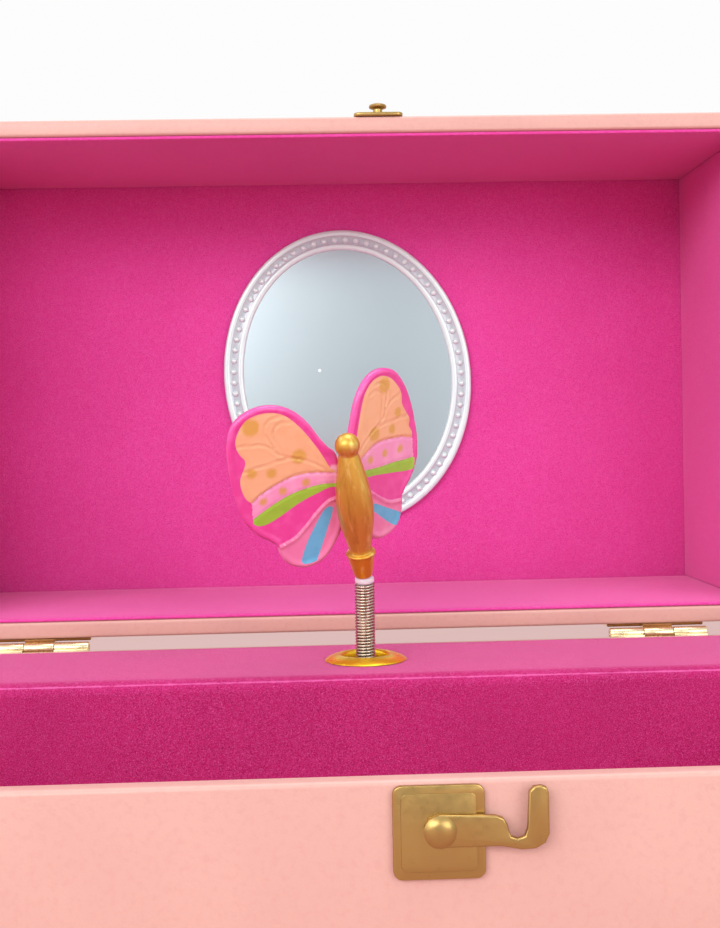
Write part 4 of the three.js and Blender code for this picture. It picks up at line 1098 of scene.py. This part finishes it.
def butterfly():
    plug = turned(in_mm(PLUG_PROFILE), 40)
    tilt = Matrix.Translation(COIL_TOP) @ Matrix.Rotation(COIL_LEAN, 4, "X")
    piece("pale_plug", *plug, PLUG, "butterfly", ("figure_plug",), "plastic", matrix=tilt)
    head = [(HEAD_RADIUS * math.cos(a), HEAD_HEIGHT + HEAD_RADIUS * math.sin(a))
            for a in np.linspace(NECK_ANGLE, math.pi / 2, 22)[:-1]] + [(0, HEAD_HEIGHT + HEAD_RADIUS)]
    profile = [(0, -4.0)] + flowing(COLLAR_PROFILE, 4)[:-1] + flowing(BELLY_PROFILE, 8) + head
    piece("gold_body", *turned(in_mm(profile), 72), GOLD, "butterfly", ("butterfly_body",), "gold_paint",
          matrix=FIGURE, angle=50)
    wing("left", LEFT_WING)
    wing("right", RIGHT_WING)


# ---- Everything else --------------------------------------------------------


def hidden_works():
    """The movement keeps its CAD shapes."""
    for node in ("spring_barrel", "lower_bearing", "upper_frame", "musical_cylinder", "cylinder_gear",
                 "great_wheel", "governor_wheel"):
        show(node, CLOCK_BRASS)
    for node in ("bedplate_screw_left", "bedplate_screw_right", "mainspring", "comb", "comb_screw_lower",
                 "comb_screw_upper", "drive_shaft", "winding_arbor", "governor_worm", "stop_wire"):
        show(node, STEEL)
    for node in ("compartment_front_board", "compartment_top_board", "movement_block"):
        show(node, BOARD)
    show("bedplate", ZINC)
    show("air_brake", PLUG)


def stage():
    """A wide pale floor."""
    floor = bpy.data.meshes.new("floor")
    floor.from_pydata([(-3, -3, 0), (3, -3, 0), (3, 3, 0), (-3, 3, 0)], [], [(0, 1, 2, 3)])
    p = Paint("pale_floor", (198, 162, 158), 0.7)
    p.tint(p.ramp(p.noise(0.3, 3), 0.4, 0.8), (192, 154, 150), 0.5)
    floor.materials.append(p.material)
    added("floor", floor)


def light(name, place, size, power, target=(0, 0.08, 0.12)):
    """A white panel lamp at place, facing target."""
    lamp = bpy.data.lights.new(name, "AREA")
    lamp.shape = "RECTANGLE"
    lamp.size, lamp.size_y = size
    lamp.energy = power
    obj = added(name, lamp)
    obj.location = place
    obj.rotation_euler = (Vector(target) - Vector(place)).to_track_quat("-Z", "Y").to_euler()


def surroundings(base, patches):
    """A soft studio all round. A patch is a direction, the distances from it where its color starts to fade
    and where it is gone, and the color."""
    world = bpy.data.worlds.new("studio")
    bpy.context.scene.world = world
    world.use_nodes = True
    tree, under = world.node_tree, base
    direction = node(tree, "ShaderNodeTexCoord").outputs["Generated"]
    for toward, near, far, color in patches:
        inputs = {0: direction, 1: Vector(toward).normalized()}
        gap = node(tree, "ShaderNodeVectorMath", inputs, operation="DISTANCE")
        inputs = {"Value": gap.outputs["Value"], "From Min": far, "From Max": near}
        fade = node(tree, "ShaderNodeMapRange", inputs, interpolation_type="SMOOTHSTEP")
        inputs = {"Factor": fade.outputs["Result"], "A": under, "B": color}
        under = node(tree, "ShaderNodeMix", inputs, data_type="RGBA").outputs["Result"]
    tree.links.new(under, tree.nodes["Background"].inputs["Color"])


def bright(amount, r=255, g=255, b=255):
    """A display colour, made brighter or dimmer for a light."""
    return tuple(c * amount for c in rgb(r, g, b)[:3]) + (1.0,)


def lights():
    surroundings(bright(0.95, 242, 247, 250), [
        ((-1, -0.25, 0.35), 0.35, 1.2, bright(1.5)),
        ((0, 1, 0.1), 0.7, 1.3, bright(0.98)),
        ((0, -1, 0.2), 0.25, 0.6, bright(0.62, 236, 243, 250)),
    ])
    light("key", (-0.53, -1.0, 0.61), (0.9, 0.46), 7.2)
    light("fill", (0.62, -0.95, 0.42), (0.7, 0.5), 4)
    light("top", (0.1, 0.0, 1.0), (0.6, 0.5), 3, (0, 0, 0.06))


def camera():
    """The photograph's view: from in front and a little left, turned slightly to the right and down."""
    yaw, pitch, roll = 0.0321, 0.0211, -0.0208
    forward = Vector((math.sin(yaw) * math.cos(pitch), math.cos(yaw) * math.cos(pitch), -math.sin(pitch)))
    right = Vector((math.cos(yaw), -math.sin(yaw), 0))
    up = right.cross(forward)
    right, up = math.cos(roll) * right + math.sin(roll) * up, math.cos(roll) * up - math.sin(roll) * right
    data = bpy.data.cameras.new("view")
    data.lens = 50.0
    data.sensor_fit = "VERTICAL"
    data.sensor_height = 36.0
    data.clip_start = 0.01
    place = Matrix((right, up, -forward)).transposed().to_4x4()
    place.translation = Vector((-7.04, -250.48, 116.45)) * MM
    obj = added("view", data)
    obj.matrix_world = place
    bpy.context.scene.camera = obj


# ---- Build ------------------------------------------------------------------

bpy.context.scene.view_settings.view_transform = "Standard"
camera()
base_case()
lid_case()
for wall in ("floor", "front", "left", "right"):
    felt_panel(f"{wall}_lining", "box")
for wall in ("panel", "back", "front", "left", "right"):
    felt_panel(f"lid_{wall}_lining", "lid")
compartment_cover()
mirror()
for side in ("left", "right"):
    hinge(side)
clasp()
eyelet()
key()
coil()
butterfly()
hidden_works()
stage()
lights()
